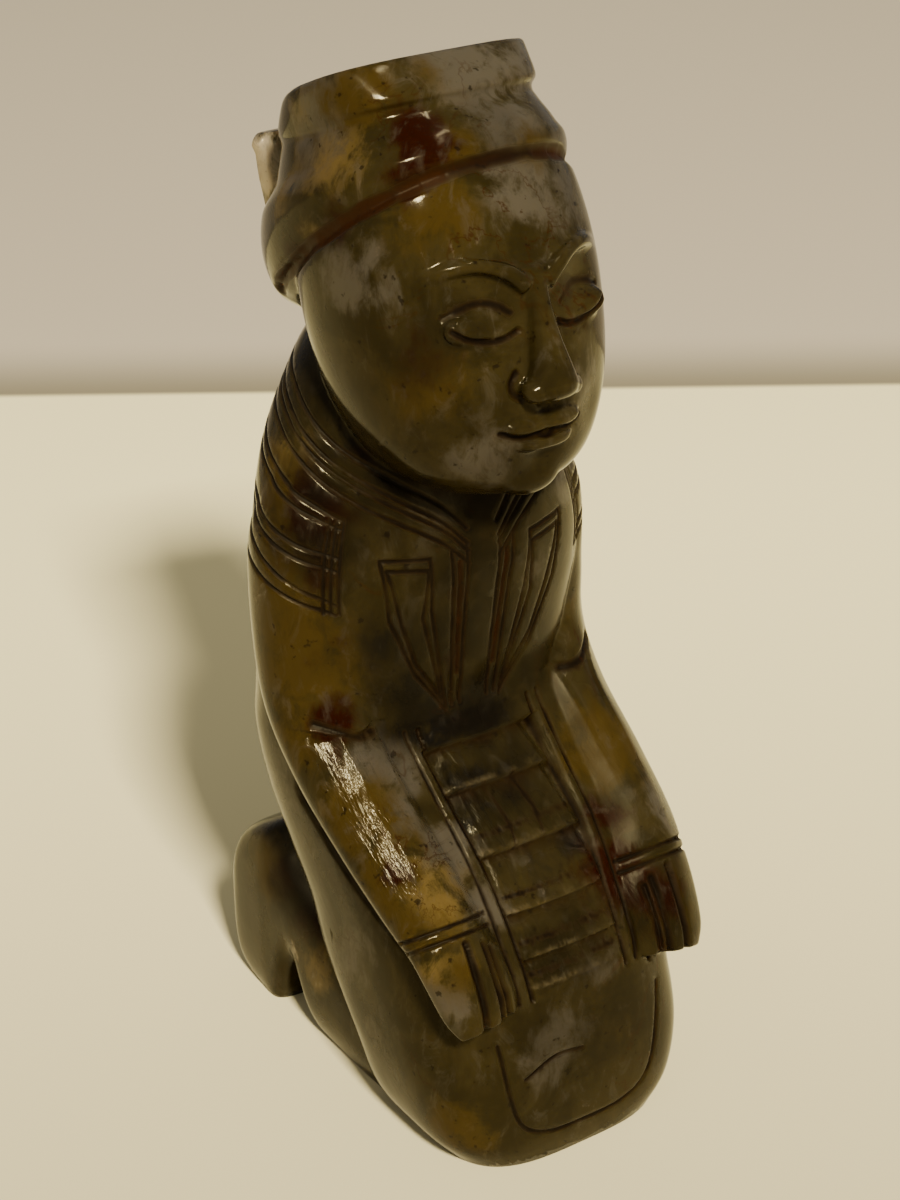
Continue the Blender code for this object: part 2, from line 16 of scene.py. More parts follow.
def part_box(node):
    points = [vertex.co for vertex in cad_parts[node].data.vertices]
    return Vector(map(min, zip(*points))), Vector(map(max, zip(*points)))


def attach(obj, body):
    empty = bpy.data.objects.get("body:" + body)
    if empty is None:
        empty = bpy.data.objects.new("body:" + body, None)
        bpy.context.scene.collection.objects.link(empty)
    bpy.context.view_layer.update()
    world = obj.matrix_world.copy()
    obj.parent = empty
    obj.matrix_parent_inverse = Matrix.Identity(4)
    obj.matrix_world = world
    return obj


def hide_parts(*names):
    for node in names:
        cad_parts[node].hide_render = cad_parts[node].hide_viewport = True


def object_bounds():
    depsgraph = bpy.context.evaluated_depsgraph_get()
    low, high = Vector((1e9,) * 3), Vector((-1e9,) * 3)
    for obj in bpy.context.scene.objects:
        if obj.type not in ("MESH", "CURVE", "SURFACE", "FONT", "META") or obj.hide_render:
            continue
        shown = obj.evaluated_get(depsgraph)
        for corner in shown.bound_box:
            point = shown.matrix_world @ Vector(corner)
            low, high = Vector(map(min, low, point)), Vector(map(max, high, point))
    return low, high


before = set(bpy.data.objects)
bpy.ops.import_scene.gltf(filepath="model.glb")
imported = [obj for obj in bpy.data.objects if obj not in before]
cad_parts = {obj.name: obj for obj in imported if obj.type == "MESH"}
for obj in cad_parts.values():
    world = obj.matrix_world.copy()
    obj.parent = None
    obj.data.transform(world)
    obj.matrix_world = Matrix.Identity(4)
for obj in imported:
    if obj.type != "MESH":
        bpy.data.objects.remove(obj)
cad_low, cad_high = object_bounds()

NODE, SLOT = "kneeling_figure", "jade"
SHARE = (cad_high.z - cad_low.z) / 100

# How finely the stone is worked. Lengths are in shares.
VOXEL = 0.16
SMOOTHING, SMOOTHING_TURNS = 0.5, 20
RING_POINTS = 96
STEPS_BETWEEN_RINGS = 10
ROUND_SEGMENTS, ROUND_RINGS = 24, 16
STROKE_SPACING = 0.1
STEPS_IN_BEND = 12
WRIST_RAYS, FINGER_RAYS = 90, 60
MOST_TRIANGLES = 194_000
STRETCH = 16  # laid points measured against the surface at a time
FAR, OUTSIDE = 60.0, 7.0  # how far out a groove's rays start, round the body and round an arm
BELOW_FLOOR = -2.0  # the forms reach this low before the base is cut flat
LEVEL_WITHIN = 0.001  # points this near the floor are set on it

# Horizontal sections, from the lowest up: height, front, back, half width, squareness.
ROBE = (
    (BELOW_FLOOR, -17.9, -1, 10.4, 3.2),
    (0, -18.6, 0.5, 11.6, 3.3),
    (3, -19.1, 2.2, 13.6, 3.4),
    (8, -19, 4.4, 14.6, 3.4),
    (14, -18.5, 10.6, 14.8, 3.1),
    (19, -17.4, 14.6, 14.8, 2.8),
    (24, -14.4, 18.2, 15, 2.8),
    (29, -10.4, 20.8, 15.2, 2.9),
    (34, -4.6, 22, 15.2, 2.8),
    (38.5, -0.4, 21.4, 15, 2.6),
    (44, -0.6, 20.4, 15.6, 2.4),
    (50, -1.3, 20.2, 16.4, 2.3),
    (55, -1.9, 20.3, 16.4, 2.1),
    (60, -0.9, 20.8, 15.3, 2.1),
    (64.5, 0.8, 20.8, 13.7, 2.1),
    (69, 1.8, 20.4, 11.4, 2.1),
    (73, 2.6, 19.2, 9.2, 2.1),
    (76, 4, 16.6, 7, 2),
)
HEAD = (
    (63.2, -5.8, 4, 4, 2),
    (64, -8, 7, 7.2, 2.1),
    (66, -9.6, 10, 9.6, 2.2),
    (69.5, -10.4, 13, 11.4, 2.2),
    (74, -10.4, 15.4, 12.4, 2.2),
    (79, -9.6, 17.2, 12.7, 2.2),
    (84, -8.4, 18.6, 12.4, 2.2),
    (89, -6.6, 18.6, 11.2, 2.2),
    (93, -4.2, 16, 9.4, 2.1),
)
NOSE = (
    (73.2, -10.9, -9, 1.5, 2.2),
    (73.8, -12.7, -9, 2.2, 2.2),
    (75, -13.7, -9, 2.2, 2.2),
    (76.6, -13.3, -9, 1.7, 2.2),
    (79.2, -11.7, -8, 1.25, 2.2),
    (82, -10.2, -7, 1.15, 2.2),
    (84.6, -8.9, -6, 1.5, 2.2),
)
# Sloping sections: front point and back point, each as y and z, half width, squareness.
CAP = (
    ((-3.8, 93), (18.6, 72.2), 11.2, 2.1),
    ((-4.3, 93.2), (21.6, 73), 12.4, 2.1),
    ((-4.3, 93.8), (23.3, 76.4), 12.8, 2.15),
    ((-4, 94.4), (23.4, 80.6), 12.6, 2.15),
    ((-3.5, 94.9), (22.3, 83.2), 11.9, 2.1),
    ((-2.7, 95.4), (21.6, 84.6), 11.3, 2.2),
    ((-1, 96.4), (21.4, 87.4), 10.7, 2.3),
    ((0.2, 97.1), (21, 88.8), 10.3, 2.5),
    ((0.2, 97.7), (20.6, 90), 10.4, 2.7),
    ((2.4, 99.3), (18.6, 93.1), 10.5, 2.7),
    ((3.8, 100), (15.8, 94.8), 10.3, 2.8),
)
BACK_FLAP = (
    ((17, 81), (23.4, 79), 7.2, 4),
    ((20.5, 85), (24.4, 84), 7.4, 4),
    ((22.3, 88), (25.4, 87.2), 7.5, 4),
    ((22.9, 89.1), (25.1, 88.6), 7, 4),
)

# Limbs of the figure's right side: centre of each section, half width across, half thickness and
# squareness. The sections stand on a corner, so a ridge runs down the forearm.
ARM = (
    ((-11, 9.6, 61), 4, 5, 2),
    ((-12.2, 9, 55), 4.9, 6.2, 2),
    ((-12.6, 8.6, 47), 4.9, 5.8, 2.1),
    ((-12.5, 7.4, 40.4), 4.9, 5.6, 2.4),
    ((-12.3, 3, 35), 4.9, 5.2, 2.9),
    ((-12.2, -3.6, 30.4), 4.7, 4.6, 3),
    ((-11.9, -9.2, 26.6), 4.4, 4, 2.8),
    ((-11.5, -12.4, 24), 4.1, 3.3, 2.6),
    ((-11.1, -14.6, 21.6), 4.1, 2.9, 2.5),
    ((-10.7, -16.6, 18.9), 3.9, 2.4, 2.4),
    ((-10.4, -17.7, 17.1), 3.2, 1.7, 2.2),
)
BROW = (
    ((-1, -8.9, 83), 0.9, 0.9, 2),
    ((-3, -8.5, 84.5), 0.8, 0.8, 2),
    ((-5.6, -7.2, 85), 0.75, 0.75, 2),
    ((-8.4, -4.7, 83.8), 0.7, 0.7, 2),
    ((-10.2, -2, 81.6), 0.6, 0.6, 2),
)
# Small rounded forms of the face: centre and half sizes. Those off the centre line are mirrored.
ROUNDS = (
    ((1.7, -11.3, 74.6), (1.2, 1.5, 1.1)),
    ((5, -7.5, 79.8), (3.3, 1.5, 1.7)),
    ((1.3, -10, 71.1), (2.7, 1.3, 0.9)),
    ((0, -10, 69.4), (3.1, 1.5, 1)),
    ((0, -7.9, 65.8), (3.4, 2, 2.3)),
)
# Hollows sunk in the face: centre, reach and depth.
HOLLOWS = (
    ((5.2, -8.4, 82.2), 3.2, 0.55),
    ((0, -10.6, 72.4), 1, 0.35),
    ((0, -9.8, 67.7), 2.4, 0.5),
    ((6, -9, 71), 3, 0.35),
)

# The carving. A cut on the robe is placed by its turn from straight ahead, in degrees, and its height.
ROBE_AXIS = 10.0  # where the upright axis of the turns stands, on Y
COLLAR = ((8, 56.3), (20, 58.7), (38, 60.9), (64, 63.8), (86, 66.4), (105, 68.2), (140, 70.2), (180, 70.8))
COLLAR_LINES = (-1.6, -0.4, 0.3, 1.7)  # how far each line lies above the collar's path
LAPEL_TOP, LAPEL_FOOT = 56.4, 39.6
LAPELS = ((1.8, 1.5), (3.4, 2.4))  # half width of each nested pair, at top and at foot
LAPEL_CHANNEL = ((2.6, 55.0), (2.0, 43.0))  # a broad cut between the pairs, rusty inside
CHANNEL_WIDTH, CHANNEL_DEPTH, CHANNEL_RUST = 0.45, 0.35, 0.35
PANEL_CORNERS = ((9.9, 56.2), (5.5, 55.9), (5.2, 50.5), (3.0, 39.2), (6.4, 43.8), (9.1, 50.0))
SHOULDER_FRONT, SHOULDER_BACK = 60.0, 130.0  # degrees of turn
# Each line's height at the front of the shoulder, and how much it rises for each degree of turn.
SHOULDER_LINES = ((59.8, 0.10), (59.0, 0.09), (56.5, 0.075), (55.3, 0.08), (52.0, 0.13), (51.0, 0.10))
SHOULDER_EDGES = (59.0, 61.6, 64.0)  # upright, in degrees of turn
PANEL_NEST = (0.0, 1.1)  # how far each line of a panel lies inside its outline
GROOVE_WIDTH, GROOVE_DEPTH = 0.34, 0.27
GROOVE_SHARPNESS = 1.3  # above 1, its sides are hollow
RUST_REACH = 1.4  # how far rust fills a rusty groove
# How much a groove's depth wanders, as a hand's does, the size of that in shares, and its seed.
HAND, HAND_SIZE, HAND_SEED = 0.35, 1.7, 3.0
DEGREES_TO_SHARES = 0.25  # along the robe, for spacing a stroke evenly

# The sash, a band of panels down the lap that overlap like shingles: the height of the edge above
# the first one, and of each one's lower edge.
LEDGES = (36.6, 33.6, 29.3, 24.8, 21.2, 18.6)
SASH_TOP_HALF, SASH_FOOT_HALF = 6.2, 5.4
LEDGE_DEPTH = 1.0
SASH_EDGE_DEPTH = 0.7
SASH_BACK = 2.0  # the sash lies in front of this, on Y
SASH_UNEVEN, SASH_GRAIN = 0.22, (1.0, 0.3, 0.3)  # the tool's marks on the panels, drawn out downwards
SASH_COARSE, SASH_FINE, SASH_FINE_SHARE = (0.8, 9.0), (0.35, 4.0), 0.4  # their sizes, each with a seed
SASH_WORKED = ((-2.0, 0.5), (1.0, 0.3))  # they fade from one X to another
SASH_LIP, SASH_LIP_DEPTH = 1.3, 0.15  # a line above each lower edge
SASH_LEDGE_SHADE, SASH_LEDGE_SHADE_POWER = 0.5, 4  # painted shade under each ledge
SASH_EDGE_SLOPE = 0.5  # how far in from its edge the sash reaches its full depth
SASH_EDGE_AT, SASH_EDGE_WIDTH = 0.2, 0.12  # a painted highlight along a line just above each lower edge
SASH_HIGHLIGHT_FADE = ((-5.0, 4.0), (1.0, 0.25))  # the painted highlight fades from one X to another
SASH_HIGHLIGHT_PATCHES = (1.2, 2.0)  # the size and seed of what breaks the painted highlight up
SASH_BEVEL_WIDTHS, SASH_BEVEL_SLOPE = (0.5, 1.8), 0.75  # its sides fall away, more so at the top
SASH_BORDER = 1.3
SASH_ENDS = (LEDGES[0] + 1.5, LEDGES[-1] - 1.0)
SASH_FOLDS, SASH_FOLD_BEND = (-2.0, 1.2), 0.5  # curved cuts down the second panel, on X
APRON = ((9.2, 14.0), (8.4, 8.4), (7.2, 5.0), (4.4, 3.4), (0.0, 3.1))  # its edge, as x and z
APRON_FOLD = ((-6.8, 10.0), (-3.6, 11.5), (-0.4, 11.2))  # x and z
APRON_DEPTH = 0.3

# The arms and hands, on the figure's right side.
WRIST = (-11.35, -12.6, 24.0)
WRIST_LINES = (0.0, 1.1)
WRIST_DEPTH = 0.4
WRIST_REACH = 100.0  # degrees to each side of the back of the arm
PALM = (-10.7, -15.4, 19.6)
FINGER_GAPS = (-0.8, 1.2, 2.0)
FINGER_REACH = (-50.0, 100.0)  # degrees from the back of the hand, round the tips
FINGER_WIDTH, FINGER_DEPTH = 0.6, 0.7
FOREARM_SLOPE = 52.0  # degrees below level at the wrist
UNDERCUT_SECTIONS = slice(4, 10)  # of the arm, where it stands clear of the thigh
UNDERCUT_AT = 0.85  # of the arm's half thickness, below its middle
UNDERCUT_WIDTH, UNDERCUT_DEPTH = 1.5, 0.8
# The fold at the elbow's crook, and the flat below it on the top of the forearm.
CROOK = ((10.6, 39.2), (12.3, 39.5), (14.0, 39.8), (15.6, 40.2))
CROOK_WIDTH, CROOK_DEPTH = 0.7, 0.45
FLAT_TOP = (13.2, 0.2, 38.4)
FLAT_SLOPE = 38.0  # degrees
FLAT_DEPTH, FLAT_DEPTH_LEFT = 0.7, 0.25
FLAT_INSIDE, FLAT_BEHIND = 8.5, 3.0  # where the flat ends, on X and Y
FLAT_HEIGHTS = (31.0, 39.6)
FLAT_FADE_DOWN, FLAT_FADE_INSIDE = 5.0, 1.5  # over what length it comes out
# A facet rubbed along the outer side of the right forearm's ridge: which way it faces, and at each
# height how far out that way it lies.
FACET_AZIMUTH, FACET_ELEVATION, FACET_DEPTH = -49.0, 36.0, 0.6
FACET = (
    (25.5, 31.35), (28.0, 31.53), (30.0, 31.61), (32.4, 31.59), (33.4, 31.52), (36.4, 31.00), (39.5, 30.88),
)

# The face: a lid line and a lid crease for each eye, the wing of the nose, and the mouth.
LID_LINE = ((2.1, 79.4), (3.4, 78.9), (5.0, 78.8), (6.6, 79.2), (8.0, 80.1))
LID_CREASE = ((2.6, 81.0), (3.9, 81.8), (5.4, 82.0), (7.0, 81.5), (8.0, 80.9))
NOSE_WING = ((2.7, 75.9), (3.2, 75.0), (3.0, 74.1), (2.2, 73.5))
MOUTH = ((-4.2, 70.6), (-2.6, 70.2), (-1.2, 70.35), (0.0, 70.15), (1.2, 70.35), (2.6, 70.2), (4.2, 70.6))

FACE_WIDTH = 0.5
LID_DEPTH, CREASE_DEPTH, WING_DEPTH, MOUTH_DEPTH = 0.5, 0.25, 0.3, 0.5

# The cap's upper tier stands out from the band below it, along a sloping plane.
TIER_FRONT, TIER_BACK = (0.4, 97.2), (21.0, 89.0)
TIER_STEP, TIER_FADE = 0.32, 3.0
TIER_EDGE = 0.8  # over what height the step comes out
BRIM_REACH = 125.0  # degrees to each side of the front
BRIM_CREASE_WIDTH, BRIM_CREASE_BELOW = 1.0, 0.4
BRIM_TURNS, BRIM_CREASE_DEPTHS = (10.0, 60.0), (0.15, 0.6)  # shallow in front, deep at the sides
BRIM_ARCS, BRIM_RAYS = 25, 10  # lengths of the crease, each cut to its own depth, and rays in each
BRIM_START = 2  # half sizes out, where the rays start


def facing(azimuth, elevation):
    """The way from the figure to a viewer or a light, as azimuth 0 in front and 90 on its left."""
    a, e = np.radians(azimuth), np.radians(elevation)
    return Vector((np.sin(a) * np.cos(e), -np.cos(a) * np.cos(e), np.sin(e)))


def add(name, data):
    """A new object in the scene."""
    made = bpy.data.objects.new(name, data)
    bpy.context.scene.collection.objects.link(made)
    return made


def catmull_rom(rows, steps):
    """The rows with more between them, on a smooth curve that passes through each."""
    rows = np.array(rows, float)
    padded = np.vstack([2 * rows[0] - rows[1], rows, 2 * rows[-1] - rows[-2]])
    out = []
    for i in range(len(rows) - 1):
        a, b, c, d = padded[i : i + 4]
        for t in np.arange(steps) / steps:
            out.append(
                b + 0.5 * t * (c - a + t * (2 * a - 5 * b + 4 * c - d + t * (3 * (b - c) + d - a)))
            )
    out.append(rows[-1])
    return np.array(out)


def superellipse(centre, across, ahead, behind, power):
    """One closed section: a rounded shape, squarer as power rises, with its own front and back."""
    turn = np.linspace(0, 2 * np.pi, RING_POINTS, endpoint=False)
    c = np.sign(np.cos(turn)) * np.abs(np.cos(turn)) ** (2 / power)
    s = np.sign(np.sin(turn)) * np.abs(np.sin(turn)) ** (2 / power)
    depth = np.where((s > 0)[:, None], behind, ahead)
    return centre + c[:, None] * across + np.abs(s)[:, None] * depth


def loft(rows):
    """A closed form through sections, each a row of centre, across, ahead, behind and power."""
    bm = bmesh.new()
    rings = []
    for row in catmull_rom(rows, STEPS_BETWEEN_RINGS):
        points = superellipse(row[0:3], row[3:6], row[6:9], row[9:12], row[12])
        rings.append([bm.verts.new(p * SHARE) for p in points])
    for lower, upper in zip(rings, rings[1:]):
        for i in range(RING_POINTS):
            j = (i + 1) % RING_POINTS
            bm.faces.new((lower[i], lower[j], upper[j], upper[i]))
    bm.faces.new(rings[0])
    bm.faces.new(rings[-1])
    return closed(bm)


def closed(bm):
    """A mesh of what was modelled, facing outwards."""
    bmesh.ops.recalc_face_normals(bm, faces=bm.faces)
    mesh = bpy.data.meshes.new("form")
    bm.to_mesh(mesh)
    bm.free()
    return mesh


def upright(sections):
    """A form that stands up: height, front, back, half width and squareness of each section."""
    rows = []
    for z, front, back, half_width, power in sections:
        centre = (front + back) / 2
        depth = (back - front) / 2
        rows.append((0, centre, z, half_width, 0, 0, 0, -depth, 0, 0, depth, 0, power))
    return loft(rows)


def sloping(sections):
    """A form whose sections slope from a front point to a back point."""
    rows = []
    for front, back, half_width, power in sections:
        centre = np.add(front, back) / 2
        half = np.subtract(back, front) / 2
        rows.append((0, *centre, half_width, 0, 0, 0, *-half, 0, *half, power))
    return loft(rows)


def along_limb(sections, side):
    """For each section of a limb: its centre, and the half sizes across it and up from it."""
    path = np.array([s[0] for s in sections]) * (-side, 1, 1)
    for centre, way, section in zip(path, np.gradient(path, axis=0), sections):
        way = way / np.linalg.norm(way)
        across = np.array((1, 0, 0)) - way[0] * way
        across /= np.linalg.norm(across)
        yield centre, across * section[1], np.cross(way, across) * section[2]


def limb(sections, side):
    """A form along a path, its sections square to the path and each standing on a corner."""
    rows = []
    for (centre, across, up), section in zip(along_limb(sections, side), sections):
        power = section[3]
        reach = 2 ** (1 / power - 1)  # brings the corners to the half sizes
        one, other = (across + up) * reach, (across - up) * reach
        rows.append((*centre, *one, *-other, *other, power))
    return loft(rows)


def lower_leg(side):
    """A shin and foot on the floor, from the knee back to the tucked toes: sections along Y."""
    rows = []
    for y, bottom, top, inner, outer, power in (
        (-8.0, BELOW_FLOOR, 4.0, -0.4, 11.0, 3.0),
        (0.0, BELOW_FLOOR, 9.5, -0.4, 12.0, 3.0),
        (7.0, BELOW_FLOOR, 14.5, -0.4, 12.4, 3.0),
        (11.0, -0.6, 17.0, -0.4, 12.6, 3.4),
        (13.6, 5.4, 18.4, -0.4, 12.7, 3.8),
        (15.2, 4.6, 19.3, -0.4, 12.7, 4.2),
        (17.6, BELOW_FLOOR, 19.6, -0.4, 12.7, 4.4),
        (20.0, BELOW_FLOOR, 19.4, -0.4, 12.7, 4.6),
        (24.4, -0.8, 17.0, -0.4, 12.4, 4.6),
        (26.2, 3.0, 14.2, 0.0, 11.8, 4.0),
    ):
        middle, half_width = (inner + outer) / 2, (outer - inner) / 2
        height = (top - bottom) / 2
        rows.append(
            (side * middle, y, bottom + height, half_width, 0, 0, 0, 0, -height, 0, 0, height, power)
        )
    return loft(rows)


def rounded(centre, half, side):
    """An egg shape on one side of the face."""
    bm = bmesh.new()
    bmesh.ops.create_uvsphere(bm, u_segments=ROUND_SEGMENTS, v_segments=ROUND_RINGS, radius=1)
    for v in bm.verts:
        v.co = (np.array(v.co) * half + centre) * (side, 1, 1) * SHARE
    return closed(bm)


def forms():
    """Every form that the block is made of, closed and overlapping."""
    made = [upright(ROBE), upright(HEAD), upright(NOSE), sloping(CAP), sloping(BACK_FLAP)]
    for side in (-1, 1):
        made += [limb(ARM, side), limb(BROW, side), lower_leg(side)]
        made += [rounded(centre, half, side) for centre, half in ROUNDS]
    return made


def fused(made):
    """The forms as one closed skin: joined by voxels, then smoothed as polishing would."""
    bm = bmesh.new()
    for form in made:
        bm.from_mesh(form)
    mesh = bpy.data.meshes.new("carved_figure")
    bm.to_mesh(mesh)
    bm.free()
    block = add("carved_figure", mesh)
    remesh = block.modifiers.new("one_piece", "REMESH")
    remesh.mode = "VOXEL"
    remesh.voxel_size = VOXEL * SHARE
    polish = block.modifiers.new("polish", "SMOOTH")
    polish.factor = SMOOTHING
    polish.iterations = SMOOTHING_TURNS
    graph = bpy.context.evaluated_depsgraph_get()
    mesh = bpy.data.meshes.new_from_object(block.evaluated_get(graph))
    block.modifiers.clear()
    block.data = mesh
    return block


def ripple(points, size, seed):
    """Smooth noise from -1 to 1 at each point, with features of a given size in shares."""
    place = Vector((seed, seed * 2.3, -seed))
    return np.array([noise.noise(Vector(p) / size + place) for p in points.tolist()])


class Skin:
    """The polished surface, which the cuts are laid on."""

    def __init__(self, mesh):
        self.points = np.array([v.co for v in mesh.vertices]) / SHARE
        self.normals = np.array([v.normal for v in mesh.vertices])
        self.tree = BVHTree.FromPolygons(self.points.tolist(), [p.vertices[:] for p in mesh.polygons])
        self.lowered = np.zeros(len(self.points))
        # Dirt with painted shade and rust left in the cuts, and a painted highlight along the sash's edges.
        self.dirt_and_shade = np.zeros(len(self.points))
        self.rusted = np.zeros(len(self.points))
        self.edge_highlight = np.zeros(len(self.points))
        self.uneven = 1 + HAND * ripple(self.points, HAND_SIZE, HAND_SEED)

    def laid(self, path, towards):
        """The path's points, each moved along its own direction until it meets the surface."""
        out = []
        for start, way in zip(path, towards):
            found = self.tree.ray_cast(Vector(start), Vector(way))[0]
            if found is not None:
                out.append(found)
        return out

    def cut(self, laid, width=GROOVE_WIDTH, depth=GROOVE_DEPTH, rust=0.0):
        """A groove along the laid points. Where grooves cross, the deeper one counts."""
        laid = np.array(laid)
        near = self.within(laid, width, None)
        for first in range(0, len(laid), STRETCH):
            some = laid[first : first + STRETCH]
            spots = self.within(some, width, near)
            gap = np.linalg.norm(self.points[spots][:, None] - some[None], axis=2).min(axis=1) / width
            share = np.clip(1 - gap, 0, None)
            sunk = depth * self.uneven[spots] * share**GROOVE_SHARPNESS
            self.lowered[spots] = np.maximum(self.lowered[spots], sunk)
            # How dark the cut is painted: dirt, with painted shade deepest in the groove's middle.
            self.dirt_and_shade[spots] = np.maximum(self.dirt_and_shade[spots], share)
            rusty = rust * np.minimum(RUST_REACH * share, 1)
            self.rusted[spots] = np.maximum(self.rusted[spots], rusty)

    def within(self, laid, width, among):
        """Which points lie in the box round the laid ones, of all or among some."""
        low, high = laid.min(axis=0) - width, laid.max(axis=0) + width
        points = self.points if among is None else self.points[among]
        found = np.nonzero(np.all((points > low) & (points < high), axis=1))[0]
        return found if among is None else among[found]

    def carved(self):
        """The points moved inwards by their cuts, the base left level."""
        moved = self.points - self.normals * self.lowered[:, None]
        moved[:, 2] = np.where(self.points[:, 2] < LEVEL_WITHIN, 0, np.maximum(moved[:, 2], 0))
        return moved


def dense(points, bend):
    """Points spaced evenly along a path, either bent smoothly through its corners or straight."""
    points = catmull_rom(points, STEPS_IN_BEND) if bend else np.array(points, float)
    length = np.r_[0, np.cumsum(np.linalg.norm(np.diff(points, axis=0), axis=1))]
    at = np.arange(0, length[-1], STROKE_SPACING)
    return np.column_stack([np.interp(at, length, points[:, k]) for k in range(points.shape[1])])


def from_front(skin, points, bend=False, **cut):
    """A groove given by x and z, laid on the front."""
    path = dense(points, bend)
    starts = np.column_stack([path[:, 0], np.full(len(path), -FAR), path[:, 1]])
    laid = skin.laid(starts, np.tile((0.0, 1.0, 0.0), (len(path), 1)))
    skin.cut(laid, **cut)


def from_around(skin, points, side, bend=True, **cut):
    """A groove given by its turn from the front in degrees and its height, laid on the robe."""
    points = np.array(points, float)
    path = dense(points * (DEGREES_TO_SHARES, 1), bend)
    turn = np.radians(path[:, 0] / DEGREES_TO_SHARES) * side
    out = np.column_stack([np.sin(turn), -np.cos(turn), np.zeros(len(turn))])
    middle = np.column_stack([np.zeros(len(path)), np.full(len(path), ROBE_AXIS), path[:, 1]])
    skin.cut(skin.laid(middle + out * FAR, -out), **cut)


def from_ahead(skin, points, way, bend=False, **cut):
    """A groove given in three dimensions, laid along one direction."""
    way = np.array(way) / np.linalg.norm(way)
    path = dense(points, bend)
    skin.cut(skin.laid(path - way * FAR, np.tile(way, (len(path), 1))), **cut)


def shrunk(corners, by):
    """The outline drawn in by a distance towards its middle."""
    corners = np.array(corners)
    middle = corners.mean(axis=0)
    away = corners - middle
    size = np.linalg.norm(away, axis=1, keepdims=True)
    return middle + away * (1 - by / size)


def carve_robe(skin):
    """The collar, the lapels, the panels on the chest and the lines on the shoulders."""
    channel = {"width": CHANNEL_WIDTH, "depth": CHANNEL_DEPTH, "rust": CHANNEL_RUST}
    for side in (-1, 1):
        for up in COLLAR_LINES:
            from_around(skin, [(turn, z + up) for turn, z in COLLAR], side)
        for top, foot in LAPELS:
            from_front(skin, [(side * top, LAPEL_TOP), (side * foot, LAPEL_FOOT)])
        from_front(skin, [(side * x, z) for x, z in LAPEL_CHANNEL], **channel)
        for by in PANEL_NEST:
            outline = shrunk(PANEL_CORNERS, by) * (side, 1)
            from_front(skin, np.vstack([outline, outline[:1]]))
        for z, slope in SHOULDER_LINES:
            line = [
                (turn, z + slope * (turn - SHOULDER_FRONT))
                for turn in np.linspace(SHOULDER_FRONT, SHOULDER_BACK, 5)
            ]
            from_around(skin, line, side)
        top, bottom = SHOULDER_LINES[0][0], SHOULDER_LINES[-1][0]
        for turn in SHOULDER_EDGES:
            from_around(skin, [(turn, top), (turn, bottom)], side)


def sash_half(z):
    """Half the width of the sash at a height."""
    return np.interp(z, (LEDGES[-1], LEDGES[0]), (SASH_FOOT_HALF, SASH_TOP_HALF))


def carve_panels(skin):
    """Each panel is sunk beneath the edge above it and comes out flush at its own lower edge."""
    x, y, z = skin.points.T
    edges = np.array(LEDGES)
    over = np.clip(len(edges) - np.searchsorted(edges[::-1], z), 1, len(edges) - 1)
    top, foot = edges[over - 1], edges[over]
    share = np.clip((z - foot) / (top - foot), 0, 1)
    within = (z < edges[0]) & (z > edges[-1]) & (y < SASH_BACK) & (skin.normals[:, 1] < 0)
    inside = sash_half(z) - np.abs(x)
    full = np.clip(inside / SASH_EDGE_SLOPE, 0, 1)
    wide = np.interp(z, (LEDGES[3], LEDGES[0]), SASH_BEVEL_WIDTHS)
    bevel = np.where(inside > 0, wide - inside, wide * (1 + inside / SASH_EDGE_SLOPE))
    bevel = SASH_BEVEL_SLOPE * np.clip(bevel, 0, None)
    grain = skin.points * SASH_GRAIN
    rough = ripple(grain, *SASH_COARSE) + SASH_FINE_SHARE * ripple(grain, *SASH_FINE)
    rough = SASH_UNEVEN * rough * full * np.interp(x, *SASH_WORKED)
    sunk = np.where(within, LEDGE_DEPTH * share * full + bevel + rough, 0)
    skin.lowered = np.maximum(skin.lowered, sunk)
    # Painted shade under each ledge, darkest just below it.
    ledge_shade = np.where(within, SASH_LEDGE_SHADE * share**SASH_LEDGE_SHADE_POWER * full, 0)
    skin.dirt_and_shade = np.maximum(skin.dirt_and_shade, ledge_shade)
    # A painted highlight just above each panel's lower edge, strongest on the figure's right and broken up.
    edge = np.exp(-((((z - foot) - SASH_EDGE_AT) / SASH_EDGE_WIDTH) ** 2))
    broken = np.clip(0.8 + 1.2 * ripple(grain, *SASH_HIGHLIGHT_PATCHES), 0, 1)
    edge *= full * np.interp(x, *SASH_HIGHLIGHT_FADE) * broken
    skin.edge_highlight = np.where(within, edge, 0)


def carve_sash(skin):
    """The panels, the lines beside and across them, and two folds."""
    carve_panels(skin)
    for beyond in (0.0, SASH_BORDER):
        for side in (-1, 1):
            ends = [(side * (sash_half(z) + beyond), z) for z in SASH_ENDS]
            from_front(skin, ends, depth=GROOVE_DEPTH if beyond else SASH_EDGE_DEPTH)
    for z in LEDGES[2:]:
        half = sash_half(z) - SASH_EDGE_SLOPE
        from_front(skin, [(-half, z + SASH_LIP), (half, z + SASH_LIP)], depth=SASH_LIP_DEPTH)
    top, foot = LEDGES[1:3]
    for x in SASH_FOLDS:
        fold = [(x, top), (x + SASH_FOLD_BEND, (top + foot) / 2), (x, foot)]
        from_front(skin, fold, bend=True)


def carve_apron(skin):
    """A panel with rounded lower corners, on the front of the lap, and one slanting fold."""
    edge = [(-x, z) for x, z in APRON] + [(x, z) for x, z in reversed(APRON[:-1])]
    from_front(skin, edge, bend=True, depth=APRON_DEPTH)
    from_front(skin, APRON_FOLD, bend=True, depth=APRON_DEPTH)


